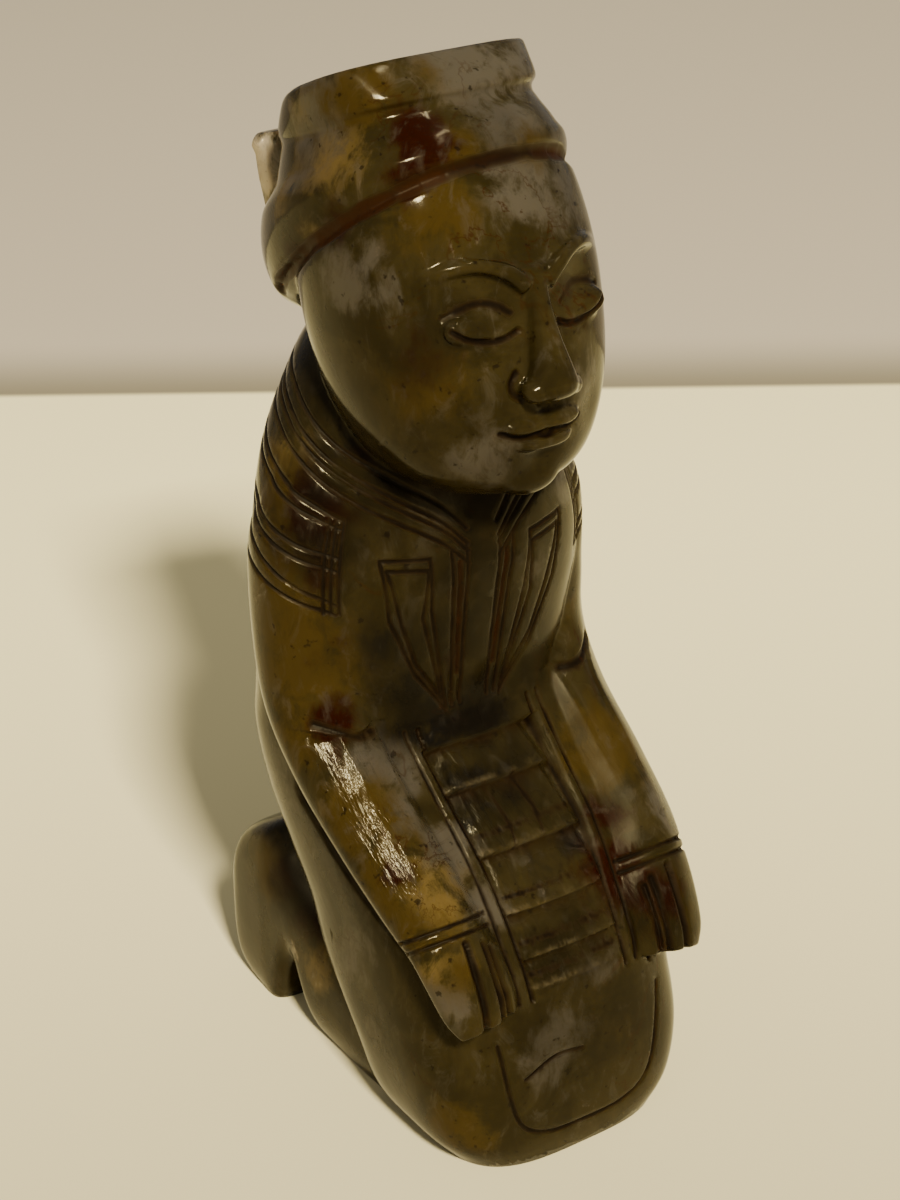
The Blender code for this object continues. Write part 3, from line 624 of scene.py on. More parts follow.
def carve_arms(skin):
    """A deep line under each forearm, the fold and the flat at each crook, and the one facet."""
    slope = np.radians(FLAT_SLOPE)
    square_to_flat = np.array((0, -np.sin(slope), np.cos(slope)))
    for side, flat_depth in ((-1, FLAT_DEPTH), (1, FLAT_DEPTH_LEFT)):
        under = [c - up * UNDERCUT_AT for c, _, up in along_limb(ARM, side)][UNDERCUT_SECTIONS]
        from_ahead(skin, under, (-side, 0, 0), bend=True, width=UNDERCUT_WIDTH, depth=UNDERCUT_DEPTH)
        crook = np.array(CROOK) * (side, 1)
        from_front(skin, crook, bend=True, width=CROOK_WIDTH, depth=CROOK_DEPTH)
        above = (skin.points - np.array(FLAT_TOP) * (side, 1, 1)) @ square_to_flat
        x, y, z = skin.points.T
        low, high = FLAT_HEIGHTS
        fade = np.clip((z - low) / FLAT_FADE_DOWN, 0, 1)
        fade *= np.clip((side * x - FLAT_INSIDE) / FLAT_FADE_INSIDE, 0, 1)
        fade *= (y < FLAT_BEHIND) & (z < high)
        skin.lowered = np.maximum(skin.lowered, np.clip(above, 0, flat_depth) * fade)
    heights, out = np.array(FACET).T
    above = skin.points @ np.array(facing(FACET_AZIMUTH, FACET_ELEVATION)) - np.interp(z, heights, out)
    within = (z > heights[0]) & (z < heights[-1]) & (x < 0)
    skin.lowered = np.maximum(skin.lowered, np.clip(above, 0, FACET_DEPTH) * within)


def carve_hands(skin):
    """The lines round each wrist, and the gaps between the fingers."""
    slope = np.radians(FOREARM_SLOPE)
    along = np.array((0, -np.cos(slope), -np.sin(slope)))
    back_of_arm = np.array((0, -np.sin(slope), np.cos(slope)))
    across = np.array((1.0, 0, 0))
    for side in (-1, 1):
        mirror = np.array((-side, 1, 1))
        turn = np.radians(np.linspace(-WRIST_REACH, WRIST_REACH, WRIST_RAYS))
        out = np.outer(np.cos(turn), back_of_arm) + np.outer(np.sin(turn), across)
        for before in WRIST_LINES:
            centre = (WRIST - along * before) * mirror
            skin.cut(skin.laid(centre + out * OUTSIDE, -out), depth=WRIST_DEPTH)
        turn = np.radians(np.linspace(*FINGER_REACH, FINGER_RAYS))
        out = np.outer(np.cos(turn), back_of_arm) + np.outer(np.sin(turn), along)
        for gap in FINGER_GAPS:
            centre = (PALM + across * gap) * mirror
            skin.cut(skin.laid(centre + out * OUTSIDE, -out), width=FINGER_WIDTH, depth=FINGER_DEPTH)


def carve_face(skin):
    """The face's hollows, and the lines of its closed eyes, nose and mouth."""
    for centre, reach, depth in HOLLOWS:
        for side in (1, -1) if centre[0] else (1,):
            away = np.linalg.norm(skin.points - np.array(centre) * (side, 1, 1), axis=1) / reach
            skin.lowered += depth * np.exp(-(away**2) * 2)
    for side in (-1, 1):
        lines = ((LID_LINE, LID_DEPTH), (LID_CREASE, CREASE_DEPTH), (NOSE_WING, WING_DEPTH))
        for line, depth in lines:
            from_front(skin, np.array(line) * (side, 1), bend=True, width=FACE_WIDTH, depth=depth)
    from_front(skin, MOUTH, bend=True, width=FACE_WIDTH, depth=MOUTH_DEPTH)


def carve_cap(skin):
    """The step below the upper tier, and a crease where the brim meets the head."""
    front, back, half_width, _ = CAP[1]
    middle, ahead = np.add(front, back) / 2, np.subtract(front, back) / 2  # as y and z
    turn = np.linspace(-BRIM_REACH, BRIM_REACH, BRIM_RAYS * BRIM_ARCS)
    out = np.outer(np.sin(np.radians(turn)), (half_width, 0, 0))
    out += np.outer(np.cos(np.radians(turn)), (0, *ahead))
    up = np.array((0, ahead[1], -ahead[0])) / np.hypot(*ahead)
    start = np.array((0, *middle)) - up * BRIM_CREASE_BELOW + out * BRIM_START
    for arc in np.array_split(np.arange(len(turn)), BRIM_ARCS):
        depth = np.interp(abs(turn[arc].mean()), BRIM_TURNS, BRIM_CREASE_DEPTHS)
        rust = depth / max(BRIM_CREASE_DEPTHS)
        skin.cut(skin.laid(start[arc], -out[arc]), width=BRIM_CREASE_WIDTH, depth=depth, rust=rust)
    along = np.subtract(TIER_BACK, TIER_FRONT)
    up = np.array((-along[1], along[0])) / np.hypot(*along)
    height = (skin.points[:, 1:] - TIER_FRONT) @ up
    below = np.clip(-height / TIER_EDGE, 0, 1) * np.clip(1 + height / TIER_FADE, 0, 1)
    skin.lowered += TIER_STEP * below


def cut_flat(mesh):
    """The block cut off level at the floor and closed there."""
    bm = bmesh.new()
    bm.from_mesh(mesh)
    everything = bm.verts[:] + bm.edges[:] + bm.faces[:]
    bmesh.ops.bisect_plane(bm, geom=everything, plane_co=(0, 0, 0), plane_no=(0, 0, -1), clear_outer=True)
    rim = [e for e in bm.edges if e.is_boundary]
    bmesh.ops.triangle_fill(bm, edges=rim, use_beauty=True)
    bmesh.ops.recalc_face_normals(bm, faces=bm.faces)
    bm.to_mesh(mesh)
    bm.free()


def carve(skin):
    carve_face(skin)
    carve_cap(skin)
    carve_robe(skin)
    carve_sash(skin)
    carve_apron(skin)
    carve_arms(skin)
    carve_hands(skin)


# The stone's markings, with painted sheen and a painted glow among them. Each is a soft patch
# round a point of the finished figure, in shares from the middle of its underside: x, y, z, reach
# and strength.
AMBER = (
    (-9, 1.7, 96.8, 4, 0.9), (-3.5, -1.2, 98.3, 3, 0.45), (-5.6, -6.6, 94, 3.2, 1),
    (2.6, -7.8, 93.1, 2.6, 0.8), (-11.2, 5, 91, 4, 0.4), (-6.9, -7, 89.5, 3.6, 0.9),
    (-9, -10.3, 75.5, 4, 0.7), (-14.8, 6, 60.5, 5.5, 0.8), (-15.5, 3, 52, 5, 0.9),
    (-16.2, 1, 46.5, 6, 1), (-15.8, 1, 40, 4.5, 0.9), (-15.3, -7.4, 34, 4.5, 0.9),
    (-15.4, -12.4, 30.2, 4.5, 0.9), (-14.5, -16.5, 26, 3.5, 0.7), (-13, -19.5, 22.5, 2.2, 0.9),
    (10.8, -9.6, 34, 4.5, 1), (14, -10, 33, 4, 0.8), (9.7, -20.4, 22.6, 4, 0.7),
    (6.5, -16, 26, 4, 0.6), (3.5, -22, 11, 3.2, 0.5), (-12.5, -19.6, 5, 4, 0.8),
    (-12, 14, 16, 4.5, 0.9), (-12.4, 8, 10, 4, 0.6), (15, 4, 48, 6, 0.6),
    (0, 17, 55, 9, 0.5), (6, 17, 30, 8, 0.6), (-7, 16, 42, 6, 0.5),
)
RUSSET = (
    (-6.5, -4.1, 95.2, 2.6, 1), (-6.2, -5, 93.6, 2.6, 1), (-11.9, 5.5, 83, 2.2, 1),
    (-11.8, -0.4, 87, 2, 0.8), (-12.4, 9, 79.6, 2, 0.9), (-8.5, -5.6, 91.2, 2, 0.8),
    (-9.2, -9.6, 77.5, 2.8, 0.6), (-13, 1.2, 61, 3.4, 1), (-13.6, 0.4, 55, 2.2, 0.9),
    (-9.6, 0.9, 64, 2.6, 0.6), (-2.6, -4.4, 52, 1.5, 0.9), (-2.4, -4.4, 45, 1.5, 0.8),
    (-14.5, -1.4, 40.4, 2.6, 1), (-15, -12.8, 30.6, 1.8, 0.9), (-15.6, -4, 38, 2, 0.7),
    (7, -17, 25, 3.6, 1), (9.5, -19.8, 23, 3.4, 1), (8, -14, 29, 2.6, 0.8),
    (-11.6, 10, 17, 3, 1), (-11.6, 7, 13, 2.6, 1), (-13.2, 0, 47.6, 2.6, 0.5),
    (4, 18, 60, 4, 0.5), (12, 10, 16, 4, 0.8),
)
PALE = (
    (-8.9, 2.8, 98.2, 2.4, 0.7), (0.5, -1.4, 98.8, 5, 0.9), (6.5, 0, 97.5, 4, 0.8),
    (1.5, -7, 95, 3.6, 0.9), (-11, 6, 92.5, 4, 0.6), (9, -4, 92, 4, 0.8),
    (1, -8.9, 90.6, 4, 0.9), (6, -8, 88, 4, 0.8), (-11.9, -2.9, 83, 4.4, 0.7),
    (-4.1, -11, 79, 3, 0.4), (-5.1, -12.5, 68.3, 3.2, 0.9), (4, -12, 74, 4, 0.5),
    (-3.7, -3.7, 60.9, 3.4, 0.8), (11.4, -1.2, 58, 4, 0.6), (6.3, -3.7, 52, 4, 0.5),
    (-10, -5, 36, 3.4, 0.8), (-8.6, -12.5, 30.6, 3.2, 1), (-7.5, -16.5, 26, 2.6, 0.8),
    (-14.4, -19.6, 21, 3, 0.7), (15, -14.4, 28, 3.4, 0.8), (-3.5, -22.1, 12, 4.4, 0.7),
    (2.6, -20.6, 17.5, 3, 0.5), (-14.8, -4.9, 19, 7, 0.5), (-14.6, -7.8, 9, 5, 0.5),
    (-16, 6, 30, 5, 0.5), (14, 0, 20, 8, 0.5), (0, 20, 75, 6, 0.6),
    (-6, 17, 64, 5, 0.5), (10, 14, 40, 6, 0.5), (-9.8, 4, 95.6, 3.6, 1),
    # These three, along the top of the right forearm, are partly painted sheen.
    (-12.6, -4.5, 36.6, 2.6, 0.9), (-12.2, -9, 33.8, 2.4, 0.8), (-11.6, -13, 30.4, 2.2, 0.7),
    (-14, 5, 55.5, 2.2, 0.7),
)
SMOKE = (
    (-5, -3, 39, 3.4, 1), (-9.2, -2.6, 48, 3.6, 0.6), (0, -3.8, 38.6, 3.4, 0.9),
    (-6.6, -2.9, 42, 3.2, 0.8), (-11.4, 0.6, 66, 3, 0.6), (-1.8, -4.1, 48.5, 3.6, 0.5),
    (-3.4, -9, 33, 4.4, 0.6), (0.7, -8.5, 33.5, 4.4, 0.5), (-0.3, -15, 26.8, 5, 0.2),
    (4.5, -13, 27.5, 3, 0.7), (-9, -8, 63, 5, 0.6), (0, -9, 61, 5, 0.7),
    (-12, 3, 58, 3, 0.6), (3.5, -3, 57, 3, 0.5),
)
# The first three patches are a painted glow of light through the thin flap at the back of the cap; the
# others are pale milky spots in the stone.
MILK_AND_GLOW = (
    (-7.3, 20.5, 85.8, 3.4, 1), (0, 21, 86, 4.6, 0.9), (7.3, 20.5, 85.8, 3.4, 1),
    (-12.6, 13, 11.5, 1.5, 0.16), (-12.6, 9, 8.8, 1.5, 0.36), (-12.4, 4, 6.6, 1.5, 0.30),
    (-8.6, -0.4, 52.4, 1.6, 0.35),
)
# Broad parts painted darker and left less polished: partly the stone's own darker tone, partly painted
# shade, as on the chest below the head and on the lap below the hands.
DUSK = (
    (0, -3.6, 55, 8, 1), (-4, -3, 47, 7, 1), (4, -3, 47, 6, 0.8),
    (0, -4, 39, 6, 1), (0, -8, 33, 6, 0.7), (0, -14, 26.5, 5, 0.2),
    (0, -20, 20, 5, 0.7), (-9, -2, 62, 5, 0.8), (-7, -4, 40, 4, 1),
    (7, -4, 40, 4, 0.8), (-13.4, 0.6, 57.5, 4.6, 1), (-12, 6, 70, 4, 0.7),
    (-6, -10, 71, 4.5, 0.5), (-12.4, 10, 14, 4, 0.8), (12, 8, 20, 8, 0.7),
    (9, -20.6, 21, 4, 0.6), (-6, 15, 40, 8, 0.4), (-15, -3, 22, 5, 0.4),
    (0, -19.5, 12, 8, 0.75), (-12.6, 20, 9, 6, 0.6), (-3, -11.5, 67, 4, 0.6),
    (-9.4, -9.4, 77.5, 3.6, 0.6), (-11.8, 5.5, 83, 2.6, 0.5), (9, -4, 92, 4, 0.5),
    (-12.1, -3.1, 72.7, 3.4, 0.45), (0.2, -6.8, 95.2, 3.4, 0.4), (-12, 9, 15, 3.4, 1),
    (-12.7, 1.3, 62.2, 3.4, 1), (7.5, -7.5, 88.5, 4, 0.4),
)
# Warm yellow patches: partly the stone's own warm tone, partly painted sheen where the light catches the
# top of the right forearm, the shoulder and the cap's left side.
HONEY_AND_SHEEN = (
    (-10.3, 4, 93.6, 4.4, 1.2), (-14.9, -6.5, 34.6, 3, 0.9), (-13.4, -14.2, 29.7, 2.8, 0.9),
    (-12.8, -16.4, 28, 2.6, 0.9), (-9.6, -13.9, 29.6, 3.2, 0.8), (-14.4, -19, 22.6, 3.2, 0.7),
    (8.7, -12.9, 29.5, 3, 0.25), (-12.5, 5.5, 9.2, 3.2, 0.8), (-14, 5.9, 63.8, 3.2, 0.7),
    (-12.8, 4.5, 85.4, 3.2, 0.4), (-12, 8, 88, 3, 0.5), (-14.6, 2, 43, 3, 0.5),
    (-1.5, -2, 98.8, 3, 0.5), (14, -12, 33, 3, 0.3), (6, 19, 60, 5, 0.4),
)
MARKINGS = {"honey_and_sheen": HONEY_AND_SHEEN, "amber": AMBER, "russet": RUSSET, "pale": PALE, "smoke": SMOKE, "milk_and_glow": MILK_AND_GLOW}

# Where the tool left its strokes unpolished.
WORKED = (
    (-14.2, -4.5, 37, 3.4, 1), (-14, -8.5, 34, 3.2, 1), (-13.2, -13, 31, 3, 1),
    (-12, -6, 37.4, 3, 0.8), (-11, -14.6, 29, 3, 0.9), (-11.4, -10, 34, 2.6, 0.8),
    (-3.6, -9.6, 31.6, 3, 1), (-4.4, -7, 35, 2.6, 1), (-4.8, -14, 27, 2.4, 0.8),
    (7, -8, 34, 3.4, 0.9), (7.4, -12, 30, 3, 0.8), (-7.6, -3.4, 40, 4, 0.6),
    (-9, -20.6, 20, 3, 0.5), (9, -20.6, 21, 3, 0.6), (12, -14, 30.5, 2.6, 0.6),
)

# Where the polish has gone dull.
DULL = (
    (9, -8, 34, 5, 1), (9.2, -13, 29.5, 4.4, 0.9), (11, -17, 25.5, 3.4, 0.7),
    (7, -5, 38, 4, 0.9), (-12.4, 11.5, 16, 5, 1),
)

# How fast a patch fades, how ragged it is, and the noise that frays it: share, size and seed of
# what all patches have in common, and of each kind's own.
PATCH_FALL, PATCH_RAGGED = 0.9, 0.5
COMMON_NOISE = ((0.6, 3.2, 1.0), (0.4, 1.3, 5.0))
OWN_NOISE, OWN_SIZE, OWN_SEED, NEXT_SEED = 0.5, 2.2, 11.0, 7
# How the dark and the rust in the cuts follow the common noise: usual strength, change, least, most.
CUT_BROKEN, RUST_BROKEN = (0.85, 0.9, 0.25, 1.2), (0.8, 1.4, 0.15, 1.2)


def patches(points, spots, wander):
    """How strongly a set of soft patches marks each point, with ragged edges."""
    total = np.zeros(len(points))
    for x, y, z, reach, strength in spots:
        away = ((points - (x, y, z)) ** 2).sum(axis=1) / (reach * reach)
        total = np.maximum(total, strength * np.exp(-away * PATCH_FALL))
    return np.clip(total + wander * np.sqrt(total) * PATCH_RAGGED, 0, 1)


def broken_up(values, wander, usual, change, least, most):
    return values * np.clip(usual + change * wander, least, most)


def mark(mesh, name, values):
    """Values kept on the mesh's vertices under a name."""
    mesh.attributes.new(name, "FLOAT", "POINT").data.foreach_set("value", values.astype(np.float32))


def marked(mesh, name):
    """The values kept under a name."""
    values = np.empty(len(mesh.vertices), np.float32)
    mesh.attributes[name].data.foreach_get("value", values)
    return values


def dress(mesh):
    """Marks the stone's colours with the painted sheen, glow and shade among them, and the tool's work on
    the vertices.
    """
    points = np.array([v.co for v in mesh.vertices]) / SHARE
    wander = sum(share * ripple(points, size, seed) for share, size, seed in COMMON_NOISE)
    for number, (name, spots) in enumerate(MARKINGS.items()):
        own = OWN_NOISE * ripple(points, OWN_SIZE, OWN_SEED + NEXT_SEED * number)
        mark(mesh, name, patches(points, spots, wander + own))
    for name, spots in {"worked": WORKED, "dusk": DUSK, "dull": DULL}.items():
        mark(mesh, name, patches(points, spots, wander))
    # The dark in the cuts: dirt, with painted shade deepest in a groove's middle and under each of the
    # sash's ledges.
    mark(mesh, "cut", broken_up(marked(mesh, "dirt_and_shade"), wander, *CUT_BROKEN))
    mark(mesh, "rust", broken_up(marked(mesh, "rusted"), wander, *RUST_BROKEN))


class Graph:
    """Short names for adding shader nodes and joining them."""

    def __init__(self, material):
        material.use_nodes = True
        self.tree = material.node_tree
        self.shader = self.tree.nodes["Principled BSDF"]

    def node(self, kind, **settings):
        made = self.tree.nodes.new(kind)
        for name, value in settings.items():
            setattr(made, name, value)
        return made

    def link(self, source, target):
        """Joins two sockets, or sets one to a number or a colour."""
        if isinstance(source, (int, float)):
            target.default_value = source
        elif isinstance(source, tuple):
            target.default_value = (*source, 1.0)[: len(target.default_value)]
        else:
            self.tree.links.new(source, target)

    def math(self, operation, a, b=0.0, clamp=False):
        made = self.node("ShaderNodeMath", operation=operation, use_clamp=clamp)
        self.link(a, made.inputs[0])
        self.link(b, made.inputs[1])
        return made.outputs[0]

    def mix(self, share, a, b):
        made = self.node("ShaderNodeMix", data_type="RGBA")
        self.link(share, made.inputs["Factor"])
        self.link(a, made.inputs["A"])
        self.link(b, made.inputs["B"])
        return made.outputs["Result"]

    def laid_over(self, colour, share, strength, paint):
        """The colour under a paint that covers it by a share of a strength."""
        return self.mix(self.math("MULTIPLY", share, strength), colour, paint)

    def mapped(self, place, kind, **values):
        """The place turned and scaled by the values."""
        made = self.node("ShaderNodeMapping", vector_type=kind)
        self.link(place, made.inputs["Vector"])
        for name, value in values.items():
            made.inputs[name].default_value = value
        return made.outputs["Vector"]

    def attribute(self, name):
        return self.node("ShaderNodeAttribute", attribute_name=name).outputs["Fac"]

    def noise(self, place, scale, detail, rough, warp=0.0):
        made = self.node("ShaderNodeTexNoise")
        self.link(place, made.inputs["Vector"])
        made.inputs["Scale"].default_value = scale
        made.inputs["Detail"].default_value = detail
        made.inputs["Roughness"].default_value = rough
        made.inputs["Distortion"].default_value = warp
        return made.outputs["Fac"]

    def span(self, value, low, high):
        """The value's share of the way from low to high, kept between 0 and 1."""
        made = self.node("ShaderNodeMapRange", interpolation_type="SMOOTHSTEP")
        self.link(value, made.inputs["Value"])
        made.inputs["From Min"].default_value = low
        made.inputs["From Max"].default_value = high
        return made.outputs["Result"]


# The stone's colours with painted sheen, glow, shade and highlights among them, and how strongly the last
# ones are laid over the others.
OLIVE = (0.0220, 0.0155, 0.0040)
OLIVE_DEEP, OLIVE_DEEP_STRENGTH = (0.0125, 0.0088, 0.0021), 0.45
VEIL, VEIL_STRENGTH = (0.050, 0.041, 0.024), 0.34
COLOURS = {
    # Warm yellow, partly painted sheen on the forearm, shoulder and cap.
    "honey_and_sheen": (0.076, 0.0485, 0.0120),
    "pale": (0.047, 0.0380, 0.0225),
    "amber": (0.0305, 0.0180, 0.0026),
    "smoke": (0.0035, 0.0030, 0.0022),
    "russet": (0.010, 0.0016, 0.0001),
    # Pale, partly a painted glow of light through the cap's back flap.
    "milk_and_glow": (0.36, 0.29, 0.17),
}
DUSK_COLOUR, DUSK_STRENGTH = (0.0030, 0.0020, 0.0008), 0.85
# Dirt with painted shade in the cuts and under the sash's ledges, darkest in a groove's middle; the darkest
# colour also marks the pores.
CUT, CUT_STRENGTH = (0.010, 0.0048, 0.0012), 0.8
CUT_DARK, CUT_DARK_STRENGTH = (0.0030, 0.0016, 0.0008), 0.85
RUST, RUST_STRENGTH = (0.017, 0.0046, 0.0004), 0.85
CRACK_STRENGTH, SPECK_STRENGTH = 0.7, 0.7
# A painted highlight along the lower edges of the sash's panels.
PAINTED_EDGE_HIGHLIGHT, PAINTED_EDGE_HIGHLIGHT_STRENGTH = (0.095, 0.070, 0.030), 0.5

# The patterns in the stone: how many features to a metre, detail, roughness and warp.
CLOUDS, WISPS, GRAINS = (160, 5, 0.65, 0.6), (480, 5, 0.7, 0.8), (1700, 3, 0.65)
CRACKS, CRACKED_PARTS, SPECKS = (75, 5, 0.6, 1.2), (60, 2, 0.5), (1100, 2, 0.5)
STROKES, RIPPLES, SWELLS = (2300, 3, 0.65, 0.6), (420, 2, 0.5), (130, 2, 0.5)
DRAWN_OUT = (1.0, 1.0, 0.5)  # wisps and grains are twice as long upright as across
RAGGED = 1.0, 0.8, 0.4  # how much clouds, wisps and grains fray a patch of colour
CRACK_WIDTH = 0.012  # of the pattern's range
STROKE_TURN, STROKE_STRETCH = (-0.9, 0.0, 0.12), (1.0, 1.0, 5.0)  # strokes run down the stone

# The polish: roughness, and what wisps, cuts, dusk and dull places add to it.
SHINE, SHINE_WISPS, SHINE_CUT, SHINE_DUSK, SHINE_DULL = 0.07, 0.10, 0.35, 0.10, 0.55
# The height of strokes, where the tool worked and elsewhere, of ripples and of swells.
STROKE_WORKED, STROKE_POLISHED, RIPPLE_HEIGHT, SWELL_HEIGHT = 0.95, 0.06, 0.20, 0.5
BUMP_STRENGTH, BUMP_METRES = 0.55, 0.00022


def stone_colour(g, clouds, wisps, grains):
    """The jade's colours, from the deep olive up to the patches and the dusk over them: painted sheen among
    the warm yellow patches, a painted glow among the milky ones and painted shade in the dusk.
    """
    colour = g.mix(g.span(clouds, 0.38, 0.62), OLIVE_DEEP, OLIVE)
    for name, paint in COLOURS.items():
        weight = g.attribute(name)
        for pattern, strength in zip((clouds, wisps, grains), RAGGED):
            weight = g.math("ADD", weight, g.math("MULTIPLY", g.math("SUBTRACT", pattern, 0.5), strength))
        colour = g.mix(g.span(weight, 0.24, 0.76), colour, paint)
    colour = g.laid_over(colour, g.span(wisps, 0.52, 0.70), VEIL_STRENGTH, VEIL)
    colour = g.laid_over(colour, g.span(wisps, 0.48, 0.30), OLIVE_DEEP_STRENGTH, OLIVE_DEEP)
    # Broad darkening, partly painted shade.
    return g.laid_over(colour, g.attribute("dusk"), DUSK_STRENGTH, DUSK_COLOUR)


def stained_colour(g, place, cut, colour):
    """Dirt with painted shade and rust in the cuts, painted shade under the sash's ledges, rust along
    hair-fine cracks, dark pores and a painted highlight along the sash's lower edges.
    """
    colour = g.laid_over(colour, g.span(cut, 0.05, 0.5), CUT_STRENGTH, CUT)
    colour = g.laid_over(colour, g.span(cut, 0.35, 0.75), CUT_DARK_STRENGTH, CUT_DARK)
    colour = g.laid_over(colour, g.span(g.attribute("rust"), 0.05, 0.6), RUST_STRENGTH, RUST)
    crack = g.math("ABSOLUTE", g.math("SUBTRACT", g.noise(place, *CRACKS), 0.5))
    crack = g.math("SUBTRACT", 1.0, g.span(crack, 0.0, CRACK_WIDTH))
    where = g.math("MULTIPLY", g.span(g.noise(place, *CRACKED_PARTS), 0.50, 0.66), CRACK_STRENGTH)
    where = g.math("MULTIPLY", where, g.math("SUBTRACT", 1.0, g.attribute("dusk")), clamp=True)
    colour = g.mix(g.math("MULTIPLY", crack, where), colour, RUST)
    speck = g.span(g.noise(place, *SPECKS), 0.66, 0.74)
    colour = g.laid_over(colour, speck, SPECK_STRENGTH, CUT_DARK)
    # The painted highlight along the sash's lower edges.
    return g.laid_over(colour, g.attribute("edge_highlight"), PAINTED_EDGE_HIGHLIGHT_STRENGTH, PAINTED_EDGE_HIGHLIGHT)


def roughness(g, wisps, cut):
    """Polished stone, less so in cuts and where it has gone dull."""
    rough = g.math("ADD", SHINE, g.math("MULTIPLY", wisps, SHINE_WISPS))
    for share, more in (
        (g.span(cut, 0.05, 0.4), SHINE_CUT),
        (g.attribute("dusk"), SHINE_DUSK),
        (g.attribute("dull"), SHINE_DULL),
    ):
        rough = g.math("ADD", rough, g.math("MULTIPLY", share, more))
    return rough


def fine_relief(g, place):
    """Short strokes of the tool, running down the stone, and a faint unevenness everywhere."""
    turned = g.mapped(place, "TEXTURE", Rotation=STROKE_TURN, Scale=STROKE_STRETCH)
    strokes = g.noise(turned, *STROKES)
    share = g.math("ADD", g.math("MULTIPLY", g.attribute("worked"), STROKE_WORKED), STROKE_POLISHED)
    height = g.math("MULTIPLY", strokes, share)
    for pattern, strength in ((RIPPLES, RIPPLE_HEIGHT), (SWELLS, SWELL_HEIGHT)):
        height = g.math("ADD", height, g.math("MULTIPLY", g.noise(place, *pattern), strength))
    bump = g.node("ShaderNodeBump")
    bump.inputs["Strength"].default_value = BUMP_STRENGTH
    bump.inputs["Distance"].default_value = BUMP_METRES
    g.link(height, bump.inputs["Height"])
    return bump.outputs["Normal"]


def jade():
    material = bpy.data.materials.new("jade_polished")
    g = Graph(material)
    place = g.node("ShaderNodeTexCoord").outputs["Object"]
    drawn = g.mapped(place, "POINT", Scale=DRAWN_OUT)
    clouds, wisps, grains = g.noise(place, *CLOUDS), g.noise(drawn, *WISPS), g.noise(drawn, *GRAINS)
    cut = g.attribute("cut")
    colour = stained_colour(g, place, cut, stone_colour(g, clouds, wisps, grains))
    shader = g.shader
    g.link(colour, shader.inputs["Base Color"])
    g.link(roughness(g, wisps, cut), shader.inputs["Roughness"])
    g.link(fine_relief(g, place), shader.inputs["Normal"])
    shader.inputs["IOR"].default_value = 1.5
    shader.inputs["Specular IOR Level"].default_value = 0.09
    shader.inputs["Specular Tint"].default_value = (1.0, 0.90, 0.66, 1.0)
    shader.inputs["Subsurface Weight"].default_value = 0.35
    shader.inputs["Subsurface Radius"].default_value = (1.0, 0.75, 0.4)
    shader.inputs["Subsurface Scale"].default_value = 0.0013
    return material


def sculpt():
    """The whole carved piece, in metres, set exactly in the box of the node it stands for."""
    block = fused(forms())
    cut_flat(block.data)
    skin = Skin(block.data)
    carve(skin)
    moved = skin.carved()
    block.data.vertices.foreach_set("co", (moved * SHARE).astype(np.float32).ravel())
    # Dirt with painted shade, rust, and the painted edge highlight, kept on the vertices.
    for name, values in {"dirt_and_shade": skin.dirt_and_shade, "rusted": skin.rusted, "edge_highlight": skin.edge_highlight}.items():
        mark(block.data, name, values)
    spare = block.modifiers.new("facets", "DECIMATE")
    spare.ratio = MOST_TRIANGLES / sum(len(p.vertices) - 2 for p in block.data.polygons)
    graph = bpy.context.evaluated_depsgraph_get()
    mesh = bpy.data.meshes.new_from_object(block.evaluated_get(graph))
    block.modifiers.clear()
    block.data = mesh
    points = np.array([v.co for v in mesh.vertices])
    low, high = points.min(axis=0), points.max(axis=0)
    node_low, node_high = np.array(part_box(NODE)[0]), np.array(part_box(NODE)[1])
    points = node_low + (points - low) * (node_high - node_low) / (high - low)
    mesh.vertices.foreach_set("co", points.astype(np.float32).ravel())
    mesh.update()
    for face in mesh.polygons:
        face.use_smooth = True
    return block


# The camera stands about where the photograph was taken from.
CAMERA_AZIMUTH, CAMERA_ELEVATION = -34.5, 27.0
CAMERA_PLACE = (-0.12178, -0.17705, 0.15778)
LENS, SENSOR = 78.0, 36.0
NEAREST_SEEN = 0.01

# The light. A lamp has its azimuth, elevation, distance from the middle, width, height, watts and
# colour.
MIDDLE = (0, 0, 0.05)
SKY, SKY_STRENGTH = (0.98, 0.96, 0.92, 1.0), 0.33
WARM, GLINT = (1.0, 0.94, 0.83), (1.0, 0.90, 0.62)
MAIN_LAMP = (-18.0, 42.0, 1.6, 0.20, 0.20, 72.0, WARM)
GLINT_LAMPS = {
    "strip": (-50.0, 86.0, 0.8, 0.016, 0.22, 1.4, GLINT),
    "left": (-66.0, 43.0, 0.8, 0.10, 0.10, 14.0, GLINT),
}

# The floor: how far away a point lies, as shares of X and Y, and there where each stretch of colour
# begins and ends, with the colours at its ends.
FLOOR_HALF = 3.0
AWAY_X, AWAY_Y = 0.538, 0.843
# The near stretch is painted darker towards the camera: painted shade.
NEAR_FROM, NEAR_TO, NEAR_COLOURS = -0.12, 0.14, ((0.47, 0.40, 0.220), (1.0, 0.86, 0.43))
FAR_FROM, FAR_TO, FAR_COLOURS = 0.166, 0.192, ((0.225, 0.190, 0.110), (0.510, 0.431, 0.287))
BORDER_FROM, BORDER_TO = 0.1668, 0.1692


def aimed(obj, place, back):
    """Puts a camera or lamp in its place, looking away from the direction back."""
    obj.location = place
    obj.rotation_mode = "QUATERNION"
    obj.rotation_quaternion = back.to_track_quat("Z", "Y")


def make_camera():
    data = bpy.data.cameras.new("camera")
    data.lens, data.sensor_width = LENS, SENSOR
    data.clip_start = NEAREST_SEEN
    camera = add("camera", data)
    aimed(camera, CAMERA_PLACE, facing(CAMERA_AZIMUTH, CAMERA_ELEVATION))
    bpy.context.scene.camera = camera


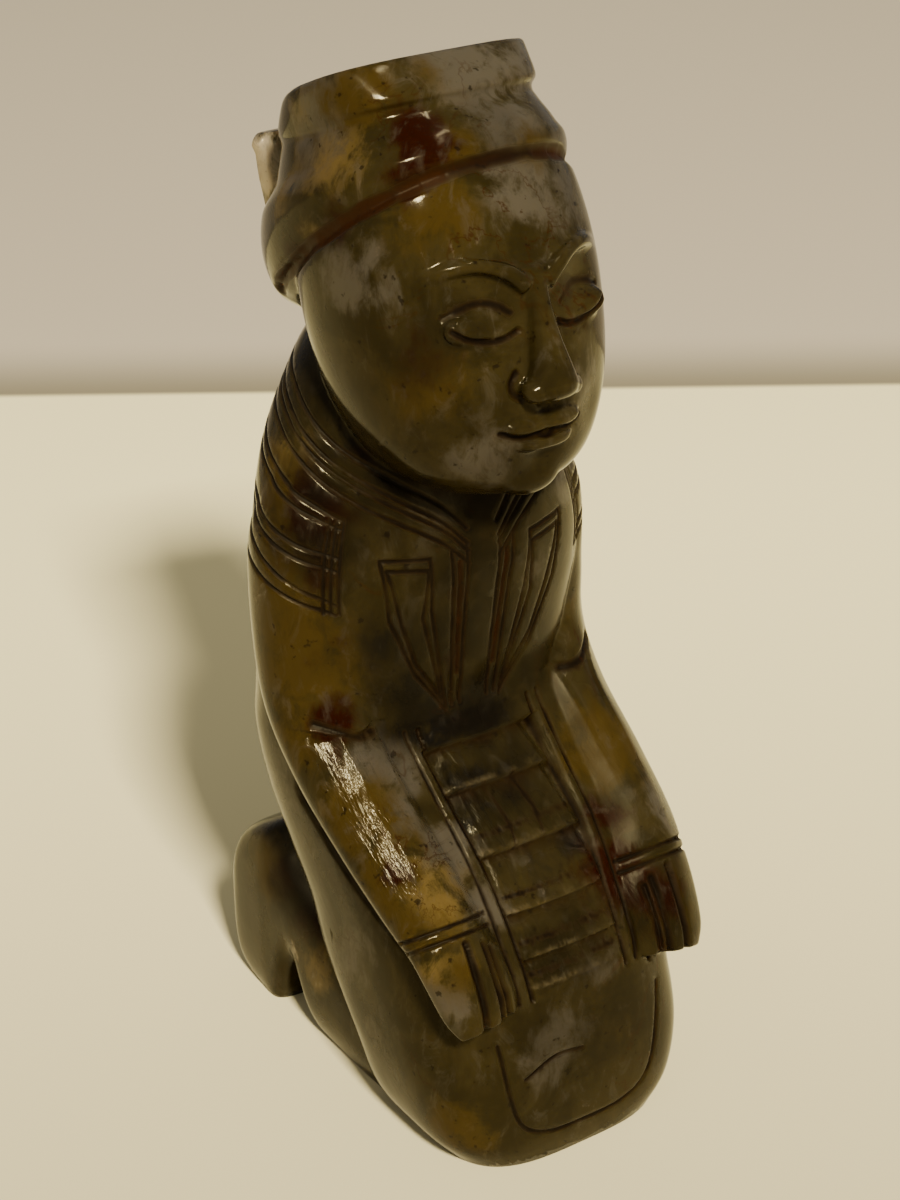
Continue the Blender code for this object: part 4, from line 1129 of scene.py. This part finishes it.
def lamp(name, azimuth, elevation, away, width, height, watts, colour):
    """A rectangle of light that faces the middle of the figure."""
    data = bpy.data.lights.new(name, "AREA")
    data.shape, data.size, data.size_y = "RECTANGLE", width, height
    data.energy, data.color = watts, colour
    way = facing(azimuth, elevation)
    made = add(name, data)
    aimed(made, Vector(MIDDLE) + way * away, way)
    return made


def make_light():
    """A soft room with one lamp that casts the shadow and two small ones that glint."""
    world = bpy.data.worlds.new("soft_room")
    bpy.context.scene.world = world
    world.use_nodes = True
    sky = world.node_tree.nodes["Background"]
    sky.inputs["Color"].default_value = SKY
    sky.inputs["Strength"].default_value = SKY_STRENGTH
    lamp("main", *MAIN_LAMP).visible_glossy = False
    for name, values in GLINT_LAMPS.items():
        lamp(name, *values).visible_diffuse = False


def make_floor():
    """The table, painted darker towards the camera as painted shade, and beyond a blurred border the darker
    ground behind it.
    """
    bm = bmesh.new()
    bmesh.ops.create_grid(bm, x_segments=8, y_segments=8, size=FLOOR_HALF)
    mesh = bpy.data.meshes.new("floor")
    bm.to_mesh(mesh)
    bm.free()
    floor = add("floor", mesh)
    material = bpy.data.materials.new("paper")
    g = Graph(material)
    place = g.node("ShaderNodeTexCoord").outputs["Object"]
    apart = g.node("ShaderNodeSeparateXYZ")
    g.link(place, apart.inputs["Vector"])
    x, y = (g.math("MULTIPLY", apart.outputs[k], by) for k, by in (("X", AWAY_X), ("Y", AWAY_Y)))
    away = g.math("ADD", x, y)
    near = g.mix(g.span(away, NEAR_FROM, NEAR_TO), *NEAR_COLOURS)
    far = g.mix(g.span(away, FAR_FROM, FAR_TO), *FAR_COLOURS)
    g.link(g.mix(g.span(away, BORDER_FROM, BORDER_TO), near, far), g.shader.inputs["Base Color"])
    g.shader.inputs["Roughness"].default_value = 0.9
    g.shader.inputs["Specular IOR Level"].default_value = 0.2
    mesh.materials.append(material)


make_camera()
make_light()
make_floor()
figure = sculpt()
dress(figure.data)
figure.data.materials.clear()
figure.data.materials.append(jade())
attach(figure, "root")
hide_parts(NODE)
